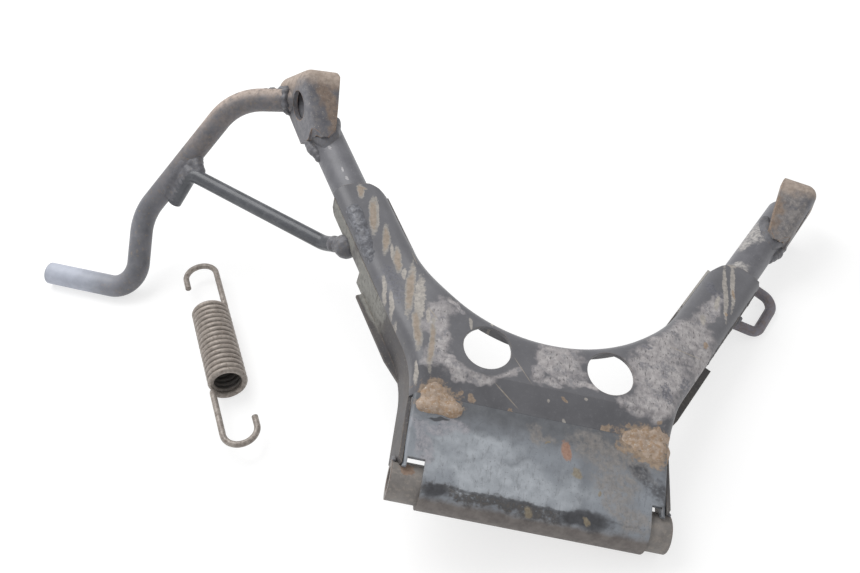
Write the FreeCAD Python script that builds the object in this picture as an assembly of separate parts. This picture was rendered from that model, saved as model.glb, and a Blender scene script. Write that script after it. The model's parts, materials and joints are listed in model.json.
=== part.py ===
"""Scooter centre stand with its loose return spring, lying on a flat surface.

The stand is drawn in its own frame: X along the pivot axis, Y from the pivot towards the feet,
Z towards the front of the stand, origin in the middle of the pivot tube. A last step lays it
down: one turn about X, one about Y, then a shift that puts the lowest point on z = 0.
All sizes are in millimetres.
"""
import FreeCAD, Part
import math
import os

V = FreeCAD.Vector
os.makedirs("parts", exist_ok=True)

# ---- driving dimensions -------------------------------------------------------------------
SHEET = 2.2                 # thickness of the pressed sheets

PIVOT_RADIUS = 10.5
PIVOT_BORE_RADIUS = 6.5
PIVOT_LENGTH = 150.0

LEG_RADIUS = 11.0
LEG_WALL = 2.0
LEG_ANGLE = 30.0            # splay of each leg from the stand's Y axis
LEG_X = 108.7               # a point on the leg axis: its X at Y = LEG_Y
LEG_Y = 150.0
LEG_Z = 7.5
LEG_START = -62.0           # both ends of the tube, measured along its axis from that point
LEG_END = 113.0
LEFT_LEG_END = 120.0        # the left tube reaches further into its shoe, behind the lever's weld

PLATE_Z = 27.5              # front face of the hole plate
SLEEVE_Z = LEG_Z + LEG_RADIUS + SHEET
SEAM_Z = 14.0               # where the front shell meets the rear shells
REAR_Z = -8.0
SLEEVE_END = 32.0
SLEEVE_INNER = 17.0         # inner side of the sleeve, from the leg axis
SLEEVE_OUTER = 13.5         # outer side of the sleeve at the front
SLEEVE_CORNER = 9.0         # rounded corners of its rear half
DRAFT = 1.7                 # the outer side walls lean out this much towards the rear
ARCH_BOTTOM = 88.5
SIDE_X = 71.0               # half width of the body at the front
SIDE_DRAFT = 4.2
SIDE_BEND = 60.0
CORNER_RADIUS = 8.0        # rounded fold along the arch and the outer sides

HOLE_RADIUS = 13.5
HOLE_X = 35.0
HOLE_Y = 74.6

CREASE_Y = 42.5             # joint line between the hole plate's skirt and the apron
CREASE_Z = 20.0
SKIRT_Y = 57.0
WRAP_LEFT = -58.7           # ends of the fold round the tube
WRAP_RIGHT = 62.5
APRON_HALF = 70.2
APRON_WRAP = 290.0          # where the fold round the tube ends, in degrees from +Y over the top
NOTCH_Y = 8.0

SHOE_PLATE = 3.0
SHOE_START = 70.0           # pointed lower end of the shoe, along the leg
SHOE_INNER = -14.0
SHOE_WALL = 14.4            # outer wall from the leg axis, leaning in by SHOE_LEAN per mm to the front
SHOE_LEAN = 0.12
SHOE_TIP_RADIUS = 9.0
SHOE_FOLD_RADIUS = 7.5
SHOE_SKEW = 0.27            # the sole runs nearer the ground's direction than square to the leg
SHOE_HOLE_RADIUS = 9.3

LEVER_RADIUS = 7.5
LEVER_POINTS = [V(-179.9, 245.7, 9.9), V(-214.8, 245.0, 0.6), V(-265.2, 196.3, -79.5),
                V(-257.9, 151.8, -107.05), V(-322.5, 163.8, -125.35)]
LEVER_BENDS = [40.0, 30.0, 17.0]
BRACE_RADIUS = 4.8
BRACE_POINTS = [V(-244.2, 200.5, -63.2), V(-234.9, 209.2, -40.7), V(-136.9, 157.2, -17.8),
                V(-121.8, 146.2, -2.1)]
EYE_RADIUS = 3.4
EYE_PLACES = [(45.5, 11.6, -8.7), (49.3, 28.8, -12.65), (17.8, 29.5, -12.65), (9, 13, -8.5)]

WIRE_RADIUS = 1.95
COIL_RADIUS = 10.3          # mean radius of the spring
COIL_TURNS = 16.5
COIL_PITCH = 4.0
WIRE_SIDES = 8              # the spring is drawn with an eight-sided wire
TURN_STEPS = 20             # straight steps in each turn of the coil
HOOK_TURN = 0.06            # part of a turn at each end where the wire bends into its hook
HOOK_LEAD = 5.0             # length of that bend along the spring
FAR_HOOK = 44.8             # outermost point and tip of each hook, along the spring
FAR_TIP = 24.2
NEAR_HOOK = 116.4
NEAR_TIP = 97.6
SPRING_YAW = 24.9
SPRING_FAR_END = (-214.1, 144.4)

LAY_ABOUT_X = 6.31          # how the stand lies: propped on its lever, pivot tube and eye
LAY_ABOUT_Y = 14.64

SIN = math.sin(math.radians(LEG_ANGLE))
COS = math.cos(math.radians(LEG_ANGLE))
BIG = 400.0


# ---- small helpers --------------------------------------------------------------------------
def polygon(points):
    """Closed wire through the points."""
    return Part.makePolygon(list(points) + [points[0]])


def prism(points, direction):
    """Solid from a closed polygon pushed along a vector."""
    return Part.Face(polygon(points)).extrude(direction)


def box(low, high):
    """Axis-aligned box between two corners."""
    return Part.makeBox(high[0] - low[0], high[1] - low[1], high[2] - low[2], V(*low))


def mirrored(shape):
    """The same shape on the other side of the stand's middle plane."""
    return shape.mirror(V(0, 0, 0), V(1, 0, 0))


def on_leg(shape, side):
    """Put a shape drawn in leg coordinates on the right (+1) or left (-1) leg.

    Leg coordinates: X outwards from the leg axis, Y along the leg to the foot, Z to the front.
    """
    placed = shape.copy()
    placed.Placement = FreeCAD.Placement(V(LEG_X, LEG_Y, LEG_Z), FreeCAD.Rotation(V(0, 0, 1), -LEG_ANGLE))
    return placed if side > 0 else mirrored(placed)


def section(centre, axis, radius, sides=0):
    """Closed wire across an axis: a circle, or a polygon with that many sides."""
    if not sides:
        return Part.Wire(Part.makeCircle(radius, centre, axis))
    across = axis.cross(V(0, 0, 1) if abs(axis.z) < 0.9 else V(1, 0, 0)).normalize()
    up = axis.cross(across).normalize()
    turns = [2 * math.pi * (k + 0.5) / sides for k in range(sides)]
    return polygon([centre + across * (radius * math.cos(t)) + up * (radius * math.sin(t)) for t in turns])


def rod(points, bend_radii, radius, sides=0):
    """Bar along straight runs joined by tangent bends, one bend radius per inner point."""
    edges = []
    start = points[0]
    for before, corner, after, bend in zip(points, points[1:], points[2:], bend_radii):
        into = (corner - before).normalize()
        out = (after - corner).normalize()
        half = into.getAngle(out) / 2
        reach = bend * math.tan(half)
        first = corner - into * reach
        last = corner + out * reach
        to_centre = (out - into).normalize() * (bend / math.cos(half))
        middle = corner + to_centre - to_centre.normalize() * bend
        edges.append(Part.makeLine(start, first))
        edges.append(Part.Arc(first, middle, last).toShape())
        start = last
    edges.append(Part.makeLine(start, points[-1]))
    across = section(points[0], (points[1] - points[0]).normalize(), radius, sides)
    return Part.Wire(edges).makePipeShell([across], True, not sides)


def leg_point(along, outward, front, side):
    """Point given in leg coordinates, in the stand's own frame."""
    x = LEG_X + along * SIN + outward * COS
    y = LEG_Y + along * COS - outward * SIN
    return V(side * x, y, LEG_Z + front)


def bar(start, end, radius):
    """Straight round bar between two points."""
    return Part.makeCylinder(radius, (end - start).Length, start, end - start)


def collar(wide_end, narrow_end, wide, narrow):
    """Cone-shaped bead between two points on a bar's axis."""
    return Part.makeCone(wide, narrow, (narrow_end - wide_end).Length, wide_end, narrow_end - wide_end)


def seated(bead, neighbours):
    """The largest piece left of a weld bead once its neighbours are taken out of it."""
    for neighbour in neighbours:
        bead = bead.cut(neighbour)
    return max(bead.Solids, key=lambda solid: solid.Volume)


# ---- body outline ---------------------------------------------------------------------------
def body_outline(z, side_x, outer, inset, low_y):
    """Closed outline of the body seen from the front: side, bend, leg, sleeve end, arch, mirrored.

    side_x is the half width of the lower body and outer the distance of the sleeve's outer side
    from the leg axis. inset moves every side inwards by the sheet thickness.
    """
    side_x = side_x - inset
    outer = outer - inset
    inner = SLEEVE_INNER - inset
    bend = SIDE_BEND + inset
    end = SLEEVE_END + 20.0
    along = V(SIN, COS, 0)
    outward = V(COS, -SIN, 0)
    origin = V(LEG_X, LEG_Y, z)
    to_corner = (side_x - LEG_X - outer * COS) / SIN
    corner = origin + outward * outer + along * to_corner
    reach = bend * math.tan(math.radians(LEG_ANGLE / 2))
    bend_start = V(side_x, corner.y - reach, z)
    bend_end = corner + along * reach
    bend_centre = V(side_x + bend, corner.y - reach, z)
    bend_middle = bend_centre + (corner - bend_centre).normalize() * bend
    outer_end = origin + outward * outer + along * end
    inner_end = origin - outward * inner + along * end
    arch_radius = (LEG_X * COS - LEG_Y * SIN - SLEEVE_INNER + ARCH_BOTTOM * SIN) / (1 - SIN)
    centre = V(0, ARCH_BOTTOM + arch_radius, z)
    arch_start = centre + outward * (arch_radius + inset)
    arch_bottom = V(0, ARCH_BOTTOM - inset, z)

    def flip(p):
        return V(-p.x, p.y, p.z)

    low = V(side_x, low_y, z)
    right = [
        Part.makeLine(low, bend_start),
        Part.Arc(bend_start, bend_middle, bend_end).toShape(),
        Part.makeLine(bend_end, outer_end),
        Part.makeLine(outer_end, inner_end),
        Part.makeLine(inner_end, arch_start),
    ]
    arch = Part.Arc(arch_start, arch_bottom, flip(arch_start)).toShape()
    left = [
        Part.makeLine(flip(arch_start), flip(inner_end)),
        Part.makeLine(flip(inner_end), flip(outer_end)),
        Part.makeLine(flip(outer_end), flip(bend_end)),
        Part.Arc(flip(bend_end), flip(bend_middle), flip(bend_start)).toShape(),
        Part.makeLine(flip(bend_start), flip(low)),
    ]
    return Part.Wire(right + [arch] + left + [Part.makeLine(flip(low), low)])


def body_block(inset, low_y):
    """Solid block of the whole body, wider at the rear than at the front."""
    front = body_outline(PLATE_Z, SIDE_X, SLEEVE_OUTER, inset, low_y)
    rear = body_outline(REAR_Z, SIDE_X + SIDE_DRAFT, SLEEVE_OUTER + DRAFT, inset, low_y)
    return Part.makeLoft([rear, front], True, True)


def crown(drop):
    """Block under the front surface: flat over the holes, lower over the sleeves and the skirt."""
    top = PLATE_Z - drop
    sleeve = SLEEVE_Z - drop
    x1, x2 = 60.0, 102.0
    shoulder = [V(x1, 0, top), V((x1 + x2) / 2, 0, (top + sleeve) / 2), V(x2, 0, sleeve)]
    curve = Part.BSplineCurve()
    curve.interpolate(Points=shoulder, InitialTangent=V(1, 0, 0), FinalTangent=V(1, 0, 0))
    right = curve.toShape()
    left = mirrored(right)
    edges = [
        Part.makeLine(V(-x1, 0, top), V(x1, 0, top)),
        right,
        Part.makeLine(V(x2, 0, sleeve), V(200, 0, sleeve)),
        Part.makeLine(V(200, 0, sleeve), V(200, 0, -60)),
        Part.makeLine(V(200, 0, -60), V(-200, 0, -60)),
        Part.makeLine(V(-200, 0, -60), V(-200, 0, sleeve)),
        Part.makeLine(V(-200, 0, sleeve), V(-x2, 0, sleeve)),
        left,
    ]
    across = Part.Face(Part.Wire(Part.__sortEdges__(edges))).extrude(V(0, 300, 0))
    slope = (CREASE_Z - PLATE_Z) / (CREASE_Y - SKIRT_Y)
    side = prism([V(-200, 0, CREASE_Z - drop - slope * CREASE_Y), V(-200, SKIRT_Y, top),
                  V(-200, 300, top), V(-200, 300, -60), V(-200, 0, -60)], V(400, 0, 0))
    return across.common(side)



def front_edges(shape, low_y):
    """Edges where the front surface turns into the sides, apart from the two cut ends."""
    found = []
    for edge in shape.Edges:
        faces = shape.ancestorsOfType(edge, Part.Face)
        middle = edge.valueAt((edge.FirstParameter + edge.LastParameter) / 2)
        slants = [face.normalAt(*face.Surface.parameter(middle)).z for face in faces]
        along = (abs(middle.x) - LEG_X) * SIN + (middle.y - LEG_Y) * COS
        at_end = along > SLEEVE_END + 19 or middle.y < low_y + 0.5
        if max(slants) > 0.75 and min(slants) < 0.35 and not at_end:
            found.append(edge)
    return found


def body_envelope(inset):
    """The whole pressed body as a solid with its front corners rounded."""
    low_y = CREASE_Y - 8
    block = body_block(inset, low_y).common(crown(inset))
    return block.makeFillet(CORNER_RADIUS - inset, front_edges(block, low_y))


def leg_prism(points, low, high, side):
    """Prism over a polygon of (along the leg, outwards) points between two heights above the leg axis."""
    flat = [V(outward, along, low) for along, outward in points]
    return on_leg(prism(flat, V(0, 0, high - low)), side)


def end_cutters():
    """Everything beyond the upper end of each sleeve, whose corner towards the arch is rounded off."""
    reach = [(SLEEVE_END, 40), (SLEEVE_END, -1), (SLEEVE_END - 2.5, -8), (SLEEVE_END - 7, -12.5),
             (SLEEVE_END - 16, -SLEEVE_INNER - 0.5), (SLEEVE_END - 16, -40), (SLEEVE_END + 60, -40),
             (SLEEVE_END + 60, 40)]
    return [leg_prism(reach, -40, 40, side) for side in (1, -1)]


# ---- pressed sheets ---------------------------------------------------------------------------
def front_shell(outside, inside):
    """Hole plate, arch flange, skirt and the front halves of both sleeves, in one pressing."""
    shell = outside.cut(inside)
    shell = shell.common(box((-200, CREASE_Y, SEAM_Z), (200, 300, 60)))
    for cutter in end_cutters():
        shell = shell.cut(cutter)
    for x in (-HOLE_X, HOLE_X):
        shell = shell.cut(Part.makeCylinder(HOLE_RADIUS, 40, V(x, HOLE_Y, 0)))
    return shell


def sleeve_block(inset):
    """Outer (or, with inset, inner) envelope of the rear half of a sleeve, in leg coordinates."""
    left, right = -SLEEVE_INNER - 1.0 + inset, SLEEVE_OUTER + 1.0 - inset
    bottom = -LEG_RADIUS - SHEET + inset
    low, high = -45.0, SLEEVE_END - 3
    block = box((left, low, bottom), (right, high, SEAM_Z - LEG_Z + inset))
    edges = [e for e in block.Edges if abs(e.CenterOfMass.z - bottom) < 0.01 and abs(e.CenterOfMass.y - (low + high) / 2) < 0.01]
    return block.makeFillet(SLEEVE_CORNER - inset, edges)


def rear_sleeve():
    """Rear half of a sleeve: a U around the back of the tube, its upper end rounded and cut back inside."""
    channel = sleeve_block(0).cut(sleeve_block(SHEET))
    high = SLEEVE_END - 3
    rounding = prism([V(-40, high - 10, -14), V(-40, high + 1, -14), V(-40, high + 1, -1)], V(80, 0, 0))
    inner_side = [V(-40, high - 8, -40), V(-SLEEVE_INNER + 1.3, high - 8, -40), V(-SLEEVE_INNER + 3, high + 1, -40),
                  V(-40, high + 1, -40)]
    return channel.cut(rounding).cut(prism(inner_side, V(0, 0, 80)))


def rear_shell(wall_block):
    """Right side wall of the body with its turned-out lip, running into the rear half of the sleeve."""
    band = wall_block.common(box((60, PIVOT_RADIUS - 6, REAR_Z), (200, 300, SEAM_Z)))
    region = leg_prism([(-150, 6), (-20, 6), (-20, 40), (-150, 40)], -40, 40, 1)
    wall = band.common(region)
    sleeve = on_leg(rear_sleeve(), 1)
    lip_shape = [(-30, 13), (-30, 19.4), (-76, 19.4), (-92, 17.0), (-95, 14.5), (-76, 13)]
    lip = leg_prism(lip_shape, REAR_Z - LEG_Z, REAR_Z - LEG_Z + SHEET, 1)
    inside = body_block(SHEET, 0)
    lip = lip.cut(inside)
    tube = Part.makeCylinder(PIVOT_RADIUS, PIVOT_LENGTH + 20, V(-PIVOT_LENGTH / 2 - 10, 0, 0), V(1, 0, 0))
    return wall.fuse([sleeve, lip]).cut(tube).removeSplitter()


def apron_line():
    """Slope of the apron and the radius of its fold's outer skin round the pivot tube."""
    outer_radius = PIVOT_RADIUS + 0.05 + SHEET
    distance = math.hypot(CREASE_Y, CREASE_Z)
    tilt = math.atan2(CREASE_Z, CREASE_Y) - math.asin(outer_radius / distance)
    return tilt, outer_radius


def around_pivot(radius, angle):
    """Point around the pivot axis; angle in radians from the stand's Y axis."""
    return V(0, radius * math.cos(angle), radius * math.sin(angle))


def apron():
    """Lower plate: folded from the crease down and wrapped round the pivot tube, with relief notches."""
    tilt, outer_radius = apron_line()
    wrap_start, wrap_end = math.radians(90) + tilt, math.radians(APRON_WRAP)
    crease = V(0, CREASE_Y, CREASE_Z)
    skins = []
    for radius, start in ((outer_radius, crease),
                          (outer_radius - SHEET, crease + V(0, math.sin(tilt), -math.cos(tilt)) * SHEET)):
        first, middle, last = [around_pivot(radius, a)
                               for a in (wrap_start, (wrap_start + wrap_end) / 2, wrap_end)]
        skins.append([Part.makeLine(start, first), Part.Arc(first, middle, last).toShape()])
    caps = [Part.makeLine(skins[0][0].Vertexes[0].Point, skins[1][0].Vertexes[0].Point),
            Part.makeLine(skins[0][1].Vertexes[-1].Point, skins[1][1].Vertexes[-1].Point)]
    profile = Part.Face(Part.Wire(Part.__sortEdges__(skins[0] + skins[1] + caps)))
    profile.translate(V(-APRON_HALF, 0, 0))
    plate = profile.extrude(V(2 * APRON_HALF, 0, 0))
    drop = math.tan(tilt) * (CREASE_Y - NOTCH_Y)
    flange = prism([V(APRON_HALF, NOTCH_Y, CREASE_Z - drop - 1), V(APRON_HALF, CREASE_Y, CREASE_Z - 1),
                    V(APRON_HALF, CREASE_Y, CREASE_Z - 7), V(APRON_HALF, NOTCH_Y - 7, CREASE_Z - drop - 7)],
                   V(-SHEET, 0, 0))
    flange = flange.cut(Part.makeCylinder(PIVOT_RADIUS + 0.05, 200, V(-100, 0, 0), V(1, 0, 0)))
    plate = plate.fuse([flange, mirrored(flange)])
    inner = APRON_HALF - SHEET
    for end, inner_x, outer_x in ((WRAP_LEFT, -inner, -APRON_HALF - 1), (WRAP_RIGHT, inner, APRON_HALF + 1)):
        notch = box((min(end, inner_x), -30, -30), (max(end, inner_x), NOTCH_Y, 30))
        corner = box((min(end, outer_x), -30, -30), (max(end, outer_x), 3.0, 30))
        behind = box((min(end, outer_x), -30, -30), (max(end, outer_x), 30, 0))
        plate = plate.cut([notch, corner, behind])
    plate = plate.common(box((-100, -50, -50), (100, CREASE_Y, 50))).removeSplitter()
    corners = [e for e in plate.Edges if abs(abs(e.CenterOfMass.x) - APRON_HALF) < 0.01
               and abs(e.Vertexes[0].Point.y - e.Vertexes[-1].Point.y) > 20 and e.CenterOfMass.z > 14]
    return plate.makeFillet(1.8, corners)


def under_apron():
    """Everything below the apron's upper skin."""
    tilt, outer_radius = apron_line()
    fold = around_pivot(outer_radius, math.radians(90) + tilt)
    points = [V(-90, CREASE_Y, CREASE_Z), V(-90, fold.y, fold.z), V(-90, fold.y, -5), V(-90, CREASE_Y, -5)]
    return prism(points, V(180, 0, 0))


# ---- tubes and feet ---------------------------------------------------------------------------
def pivot_tube():
    """Tube that turns on the vehicle's pivot bolt."""
    low = V(-PIVOT_LENGTH / 2, 0, 0)
    tube = Part.makeCylinder(PIVOT_RADIUS, PIVOT_LENGTH, low, V(1, 0, 0))
    bore = Part.makeCylinder(PIVOT_BORE_RADIUS, PIVOT_LENGTH, low, V(1, 0, 0))
    return tube.cut(bore)


def leg_tube(end):
    """Right leg: a straight tube, open at both ends."""
    start, axis = V(0, LEG_START, 0), V(0, 1, 0)
    length = end - LEG_START
    tube = Part.makeCylinder(LEG_RADIUS, length, start, axis)
    return on_leg(tube.cut(Part.makeCylinder(LEG_RADIUS - LEG_WALL, length, start, axis)), 1)


def shoe_block(inset):
    """Solid inside the shoe's outer skin, moved inwards by inset; open ways are run on past the plate."""
    low, tip = V(0, SHOE_START, 13.6), V(0, 110.0, 35.5)
    sole_end = V(0, 136.0, 3.5)
    front_run = (tip - low).normalize()
    sole_run = (sole_end - tip).normalize()
    into_front = V(0, front_run.z, -front_run.y) * inset
    into_sole = V(0, sole_run.z, -sole_run.y) * inset
    turn = math.tan(front_run.getAngle(sole_run) / 2)
    tip = tip + into_front - front_run * (inset * turn)
    if inset:
        points = [low + into_front - front_run * 40, tip, tip + sole_run * 90, V(0, 40, -60)]
    else:
        points = [low, tip, sole_end, V(0, 131, -5), V(0, 113, -7), V(0, 84, -8.5)]
    sideways = V(1, 0, 0) + front_run * SHOE_SKEW
    block = prism([p + sideways * SHOE_INNER for p in points], sideways * 50)
    tip_middle = tip + sideways * (SHOE_INNER + 25)
    tip_edge = min(block.Edges, key=lambda edge: (edge.CenterOfMass - tip_middle).Length)
    block = block.makeFillet(max(SHOE_TIP_RADIUS - inset, 1.0), [tip_edge])
    wall = [V(SHOE_WALL - inset - SHOE_LEAN * c, -10, c) for c in (-80, 60)]
    block = block.cut(prism([wall[0], wall[1], V(60, -10, 60), V(60, -10, -80)], V(0, 300, 0)))
    folds = []
    for edge in block.Edges:
        faces = block.ancestorsOfType(edge, Part.Face)
        middle = edge.valueAt((edge.FirstParameter + edge.LastParameter) / 2)
        normals = [face.normalAt(*face.Surface.parameter(middle)) for face in faces]
        if max(n.x for n in normals) > 0.9 and max(n.dot(V(0, 0.5, 0.86)) for n in normals) > 0.4:
            folds.append(edge)
    return block.makeFillet(max(SHOE_FOLD_RADIUS - inset, 1.0), folds)


def foot_shoe():
    """Skid over the end of the right leg: sloping front, rounded sole and an outer wall with a round hole.

    It is open towards the arch and behind; the front narrows to a point on the leg.
    """
    shoe = shoe_block(0).cut(shoe_block(SHOE_PLATE))
    point = [V(-40, 60, -60), V(40, 60, -60), V(40, 80, -60), V(12, 80, -60), V(6, SHOE_START, -60),
             V(-2, 75, -60), V(-6.5, 86, -60), V(SHOE_INNER + 0.3, 105, -60), V(-40, 105, -60)]
    shoe = shoe.cut(prism(point, V(0, 0, 120)))
    inner_end = [V(-40, 100, 45), V(-14.5, 100, 38), V(-8, 100, 2), V(-8, 100, -30), V(-40, 100, -30)]
    shoe = shoe.cut(prism(inner_end, V(0, 60, 0)))
    shoe = shoe.cut(Part.makeCylinder(SHOE_HOLE_RADIUS, 40, V(0, 103.5, 12), V(1, 0, 0)))
    shoe = shoe.cut(Part.makeCylinder(LEG_RADIUS, LEFT_LEG_END, V(0, 0, 0), V(0, 1, 0)))
    return on_leg(shoe, 1)


# ---- bent bars ----------------------------------------------------------------------------------
def foot_lever(shoe_skin):
    """Pedal bar from the left foot: out, down and back, ending in the part that a shoe sole presses."""
    bends = LEVER_POINTS[1:4]
    start = LEVER_POINTS[0] + (LEVER_POINTS[0] - bends[0]).normalize() * 9
    return rod([start] + bends + [LEVER_POINTS[4]], LEVER_BENDS, LEVER_RADIUS).cut(shoe_skin)


def lever_brace(neighbours):
    """Thinner bar from the lever back to the leg's sleeve."""
    return rod(BRACE_POINTS, [9.0, 14.0], BRACE_RADIUS).cut(neighbours)


def spring_eye(neighbours):
    """Bent rod on the right leg that the return spring hooks into."""
    points = [leg_point(*place, 1) for place in EYE_PLACES]
    return seated(rod(points, [7.5, 8.0], EYE_RADIUS, 12), neighbours)


# ---- welds ------------------------------------------------------------------------------------
def crease_weld(x_inner, x_outer, radius, centre_z, solids):
    """Bead across a corner where the apron meets the front shell."""
    return seated(bar(V(x_outer, CREASE_Y - 4, centre_z - 0.7), V(x_inner, CREASE_Y, centre_z), radius), solids)


def seam_weld(outward, front, first, last, radius, solids):
    """Long bead down the right leg's sleeve, between two places along the leg."""
    bead = bar(leg_point(first, outward, front, 1), leg_point(last, outward, front, 1), radius)
    return seated(bead, solids)


def foot_weld(solids):
    """Bead round the pointed edge of the right shoe on the leg tube, with a lump on the outer side."""
    places = [(82.0, 12.0, 3.0), (71.0, 6.5, 10.0), (75.5, -2.5, 11.6), (90.0, -9.4, 8.0)]
    bead = rod([leg_point(*place, 1) for place in places], [3.0, 3.0], 2.4, 8)
    lump = rod([leg_point(84.0, 12.6, -1.0, 1), leg_point(66.0, 10.4, 0.5, 1)], [], 4.2, 8)
    return seated(bead.fuse(lump), solids)


def pivot_weld(solids):
    """Bead on the pivot tube along the outer face of the right side wall."""
    path = [around_pivot(PIVOT_RADIUS + 0.8, math.radians(angle)) + V(73.6, 0, 0) for angle in (-32, 8, 48)]
    arc = Part.Arc(*path).toShape()
    across = section(path[0], arc.tangentAt(arc.FirstParameter), 1.8, 6)
    return seated(Part.Wire([arc]).makePipeShell([across], True, True), solids)


def lever_weld(solids):
    """Bead around the lever's root on the left shoe's side wall."""
    foot = LEVER_POINTS[0]
    run = (LEVER_POINTS[1] - foot).normalize()
    return seated(collar(foot - run * 3, foot + run * 5, LEVER_RADIUS + 4.0, LEVER_RADIUS + 0.4), solids)


def brace_lever_weld(solids):
    """Bead in the groove where the brace's cut end lies against the lever."""
    low, high = BRACE_POINTS[0], BRACE_POINTS[1]
    lever_run = (LEVER_POINTS[2] - LEVER_POINTS[1]).normalize()
    offset = (low + high) * 0.5 - LEVER_POINTS[1]
    to_lever = lever_run * offset.dot(lever_run) - offset
    groove = to_lever.normalize() * 5.2
    lift = lever_run.cross(to_lever).normalize() * 5.0
    if lift.z < 0:
        lift = lift * -1
    return seated(bar(low + groove + lift, high + groove + lift, 2.8), solids)


def brace_leg_weld(solids):
    """Bead around the brace's end on the left sleeve."""
    run = (BRACE_POINTS[3] - BRACE_POINTS[2]).normalize()
    root = leg_point(5.4, SLEEVE_OUTER + 1.8, -10.5, -1)
    return seated(collar(root + run * 3, root - run * 6, BRACE_RADIUS + 4.5, BRACE_RADIUS + 0.4), solids)


def eye_welds(solids):
    """One bead at each end of the spring eye."""
    upper = bar(leg_point(41.5, 13.0, -5.4, 1), leg_point(49.5, 13.0, -5.4, 1), 2.2)
    lower = bar(leg_point(7, 16.6, -5.0, 1), leg_point(16, 16.8, -5.0, 1), 2.2)
    return Part.makeCompound([seated(upper, solids), seated(lower, solids)])


# ---- laying the stand down ----------------------------------------------------------------------
def lay_down(shape):
    """Turn a shape from the stand's own frame into the resting pose."""
    turn = FreeCAD.Rotation(V(0, 1, 0), LAY_ABOUT_Y) * FreeCAD.Rotation(V(1, 0, 0), LAY_ABOUT_X)
    placed = shape.copy()
    placed.Placement = FreeCAD.Placement(V(0, 0, 0), turn).multiply(placed.Placement)
    return placed


# ---- return spring ------------------------------------------------------------------------------
def spring_place(along, side, up):
    """Point in spring coordinates: along the axis from the far end, to its side, and up."""
    yaw = math.radians(SPRING_YAW)
    axis = V(math.sin(yaw), -math.cos(yaw), 0)
    across = V(math.cos(yaw), math.sin(yaw), 0)
    return V(*SPRING_FAR_END, COIL_RADIUS + WIRE_RADIUS) + axis * along + across * side + V(0, 0, up)


def in_spring_axes(shape):
    """Place a shape drawn with X to the side, Y up and Z along the spring."""
    base = spring_place(0, 0, 0)
    across, up, axis = spring_place(0, 1, 0) - base, V(0, 0, 1), spring_place(1, 0, 0) - base
    matrix = FreeCAD.Matrix(across.x, up.x, axis.x, base.x,
                            across.y, up.y, axis.y, base.y,
                            across.z, up.z, axis.z, base.z, 0, 0, 0, 1)
    placed = shape.copy()
    placed.Placement = FreeCAD.Placement(matrix).multiply(shape.Placement)
    return placed


def helix_point(turns):
    """Point and direction of the coil's wire, both in spring axes (left-hand wound)."""
    angle = 2 * math.pi * turns
    place = V(COIL_RADIUS * math.cos(angle), -COIL_RADIUS * math.sin(angle), WIRE_RADIUS + COIL_PITCH * turns)
    heading = V(-math.sin(angle), -math.cos(angle), COIL_PITCH / (2 * math.pi * COIL_RADIUS)).normalize()
    return place, heading


def wire_along(points):
    """Spring wire along a chain of close points, mitred at each, put in the spring's place."""
    across = section(points[0], (points[1] - points[0]).normalize(), WIRE_RADIUS, WIRE_SIDES)
    return in_spring_axes(Part.makePolygon(points).makePipeShell([across], True, False, 1))


def spring_coil():
    """Close-wound coil: a helix, stopping short of each end where the wire bends into its hook.

    A short step along the helix at each end keeps the cut face square to the wire.
    """
    turns = COIL_TURNS - 2 * HOOK_TURN
    steps = round(turns * TURN_STEPS)
    between = [helix_point(HOOK_TURN + turns * k / steps)[0] for k in range(1, steps)]
    first, heading = helix_point(HOOK_TURN)
    last, leaving = helix_point(COIL_TURNS - HOOK_TURN)
    return wire_along([first, first + heading * 0.4] + between + [last - leaving * 0.4, last])


def spring_hook(turns, bend_centre, tip, gap):
    """Open hook: a curve out of the coil, a straight leg, half a circle and a short straight end.

    bend_centre and tip are distances along the spring; gap keeps the start clear of the coil.
    """
    start, heading = helix_point(turns)
    out = -1 if bend_centre < 0 else 1
    heading = heading * out
    start = start + heading * gap
    side = math.copysign(COIL_RADIUS, start.x)
    coil_end = helix_point(turns)[0].z
    leg_start = V(side, 0, coil_end + out * HOOK_LEAD)
    leg_end, bend_top = V(side, 0, bend_centre), V(0, 0, bend_centre + out * COIL_RADIUS)
    curve = Part.BSplineCurve()
    curve.interpolate(Points=[start, leg_start], InitialTangent=heading * 7, FinalTangent=V(0, 0, out * 7))
    half_circle = Part.Arc(leg_end, bend_top, V(-side, 0, bend_centre)).toShape()
    bend = curve.toShape().discretize(7) + half_circle.discretize(13)
    return wire_along([start, start + heading * 0.4] + bend[1:] + [V(-side, 0, tip)])


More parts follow.
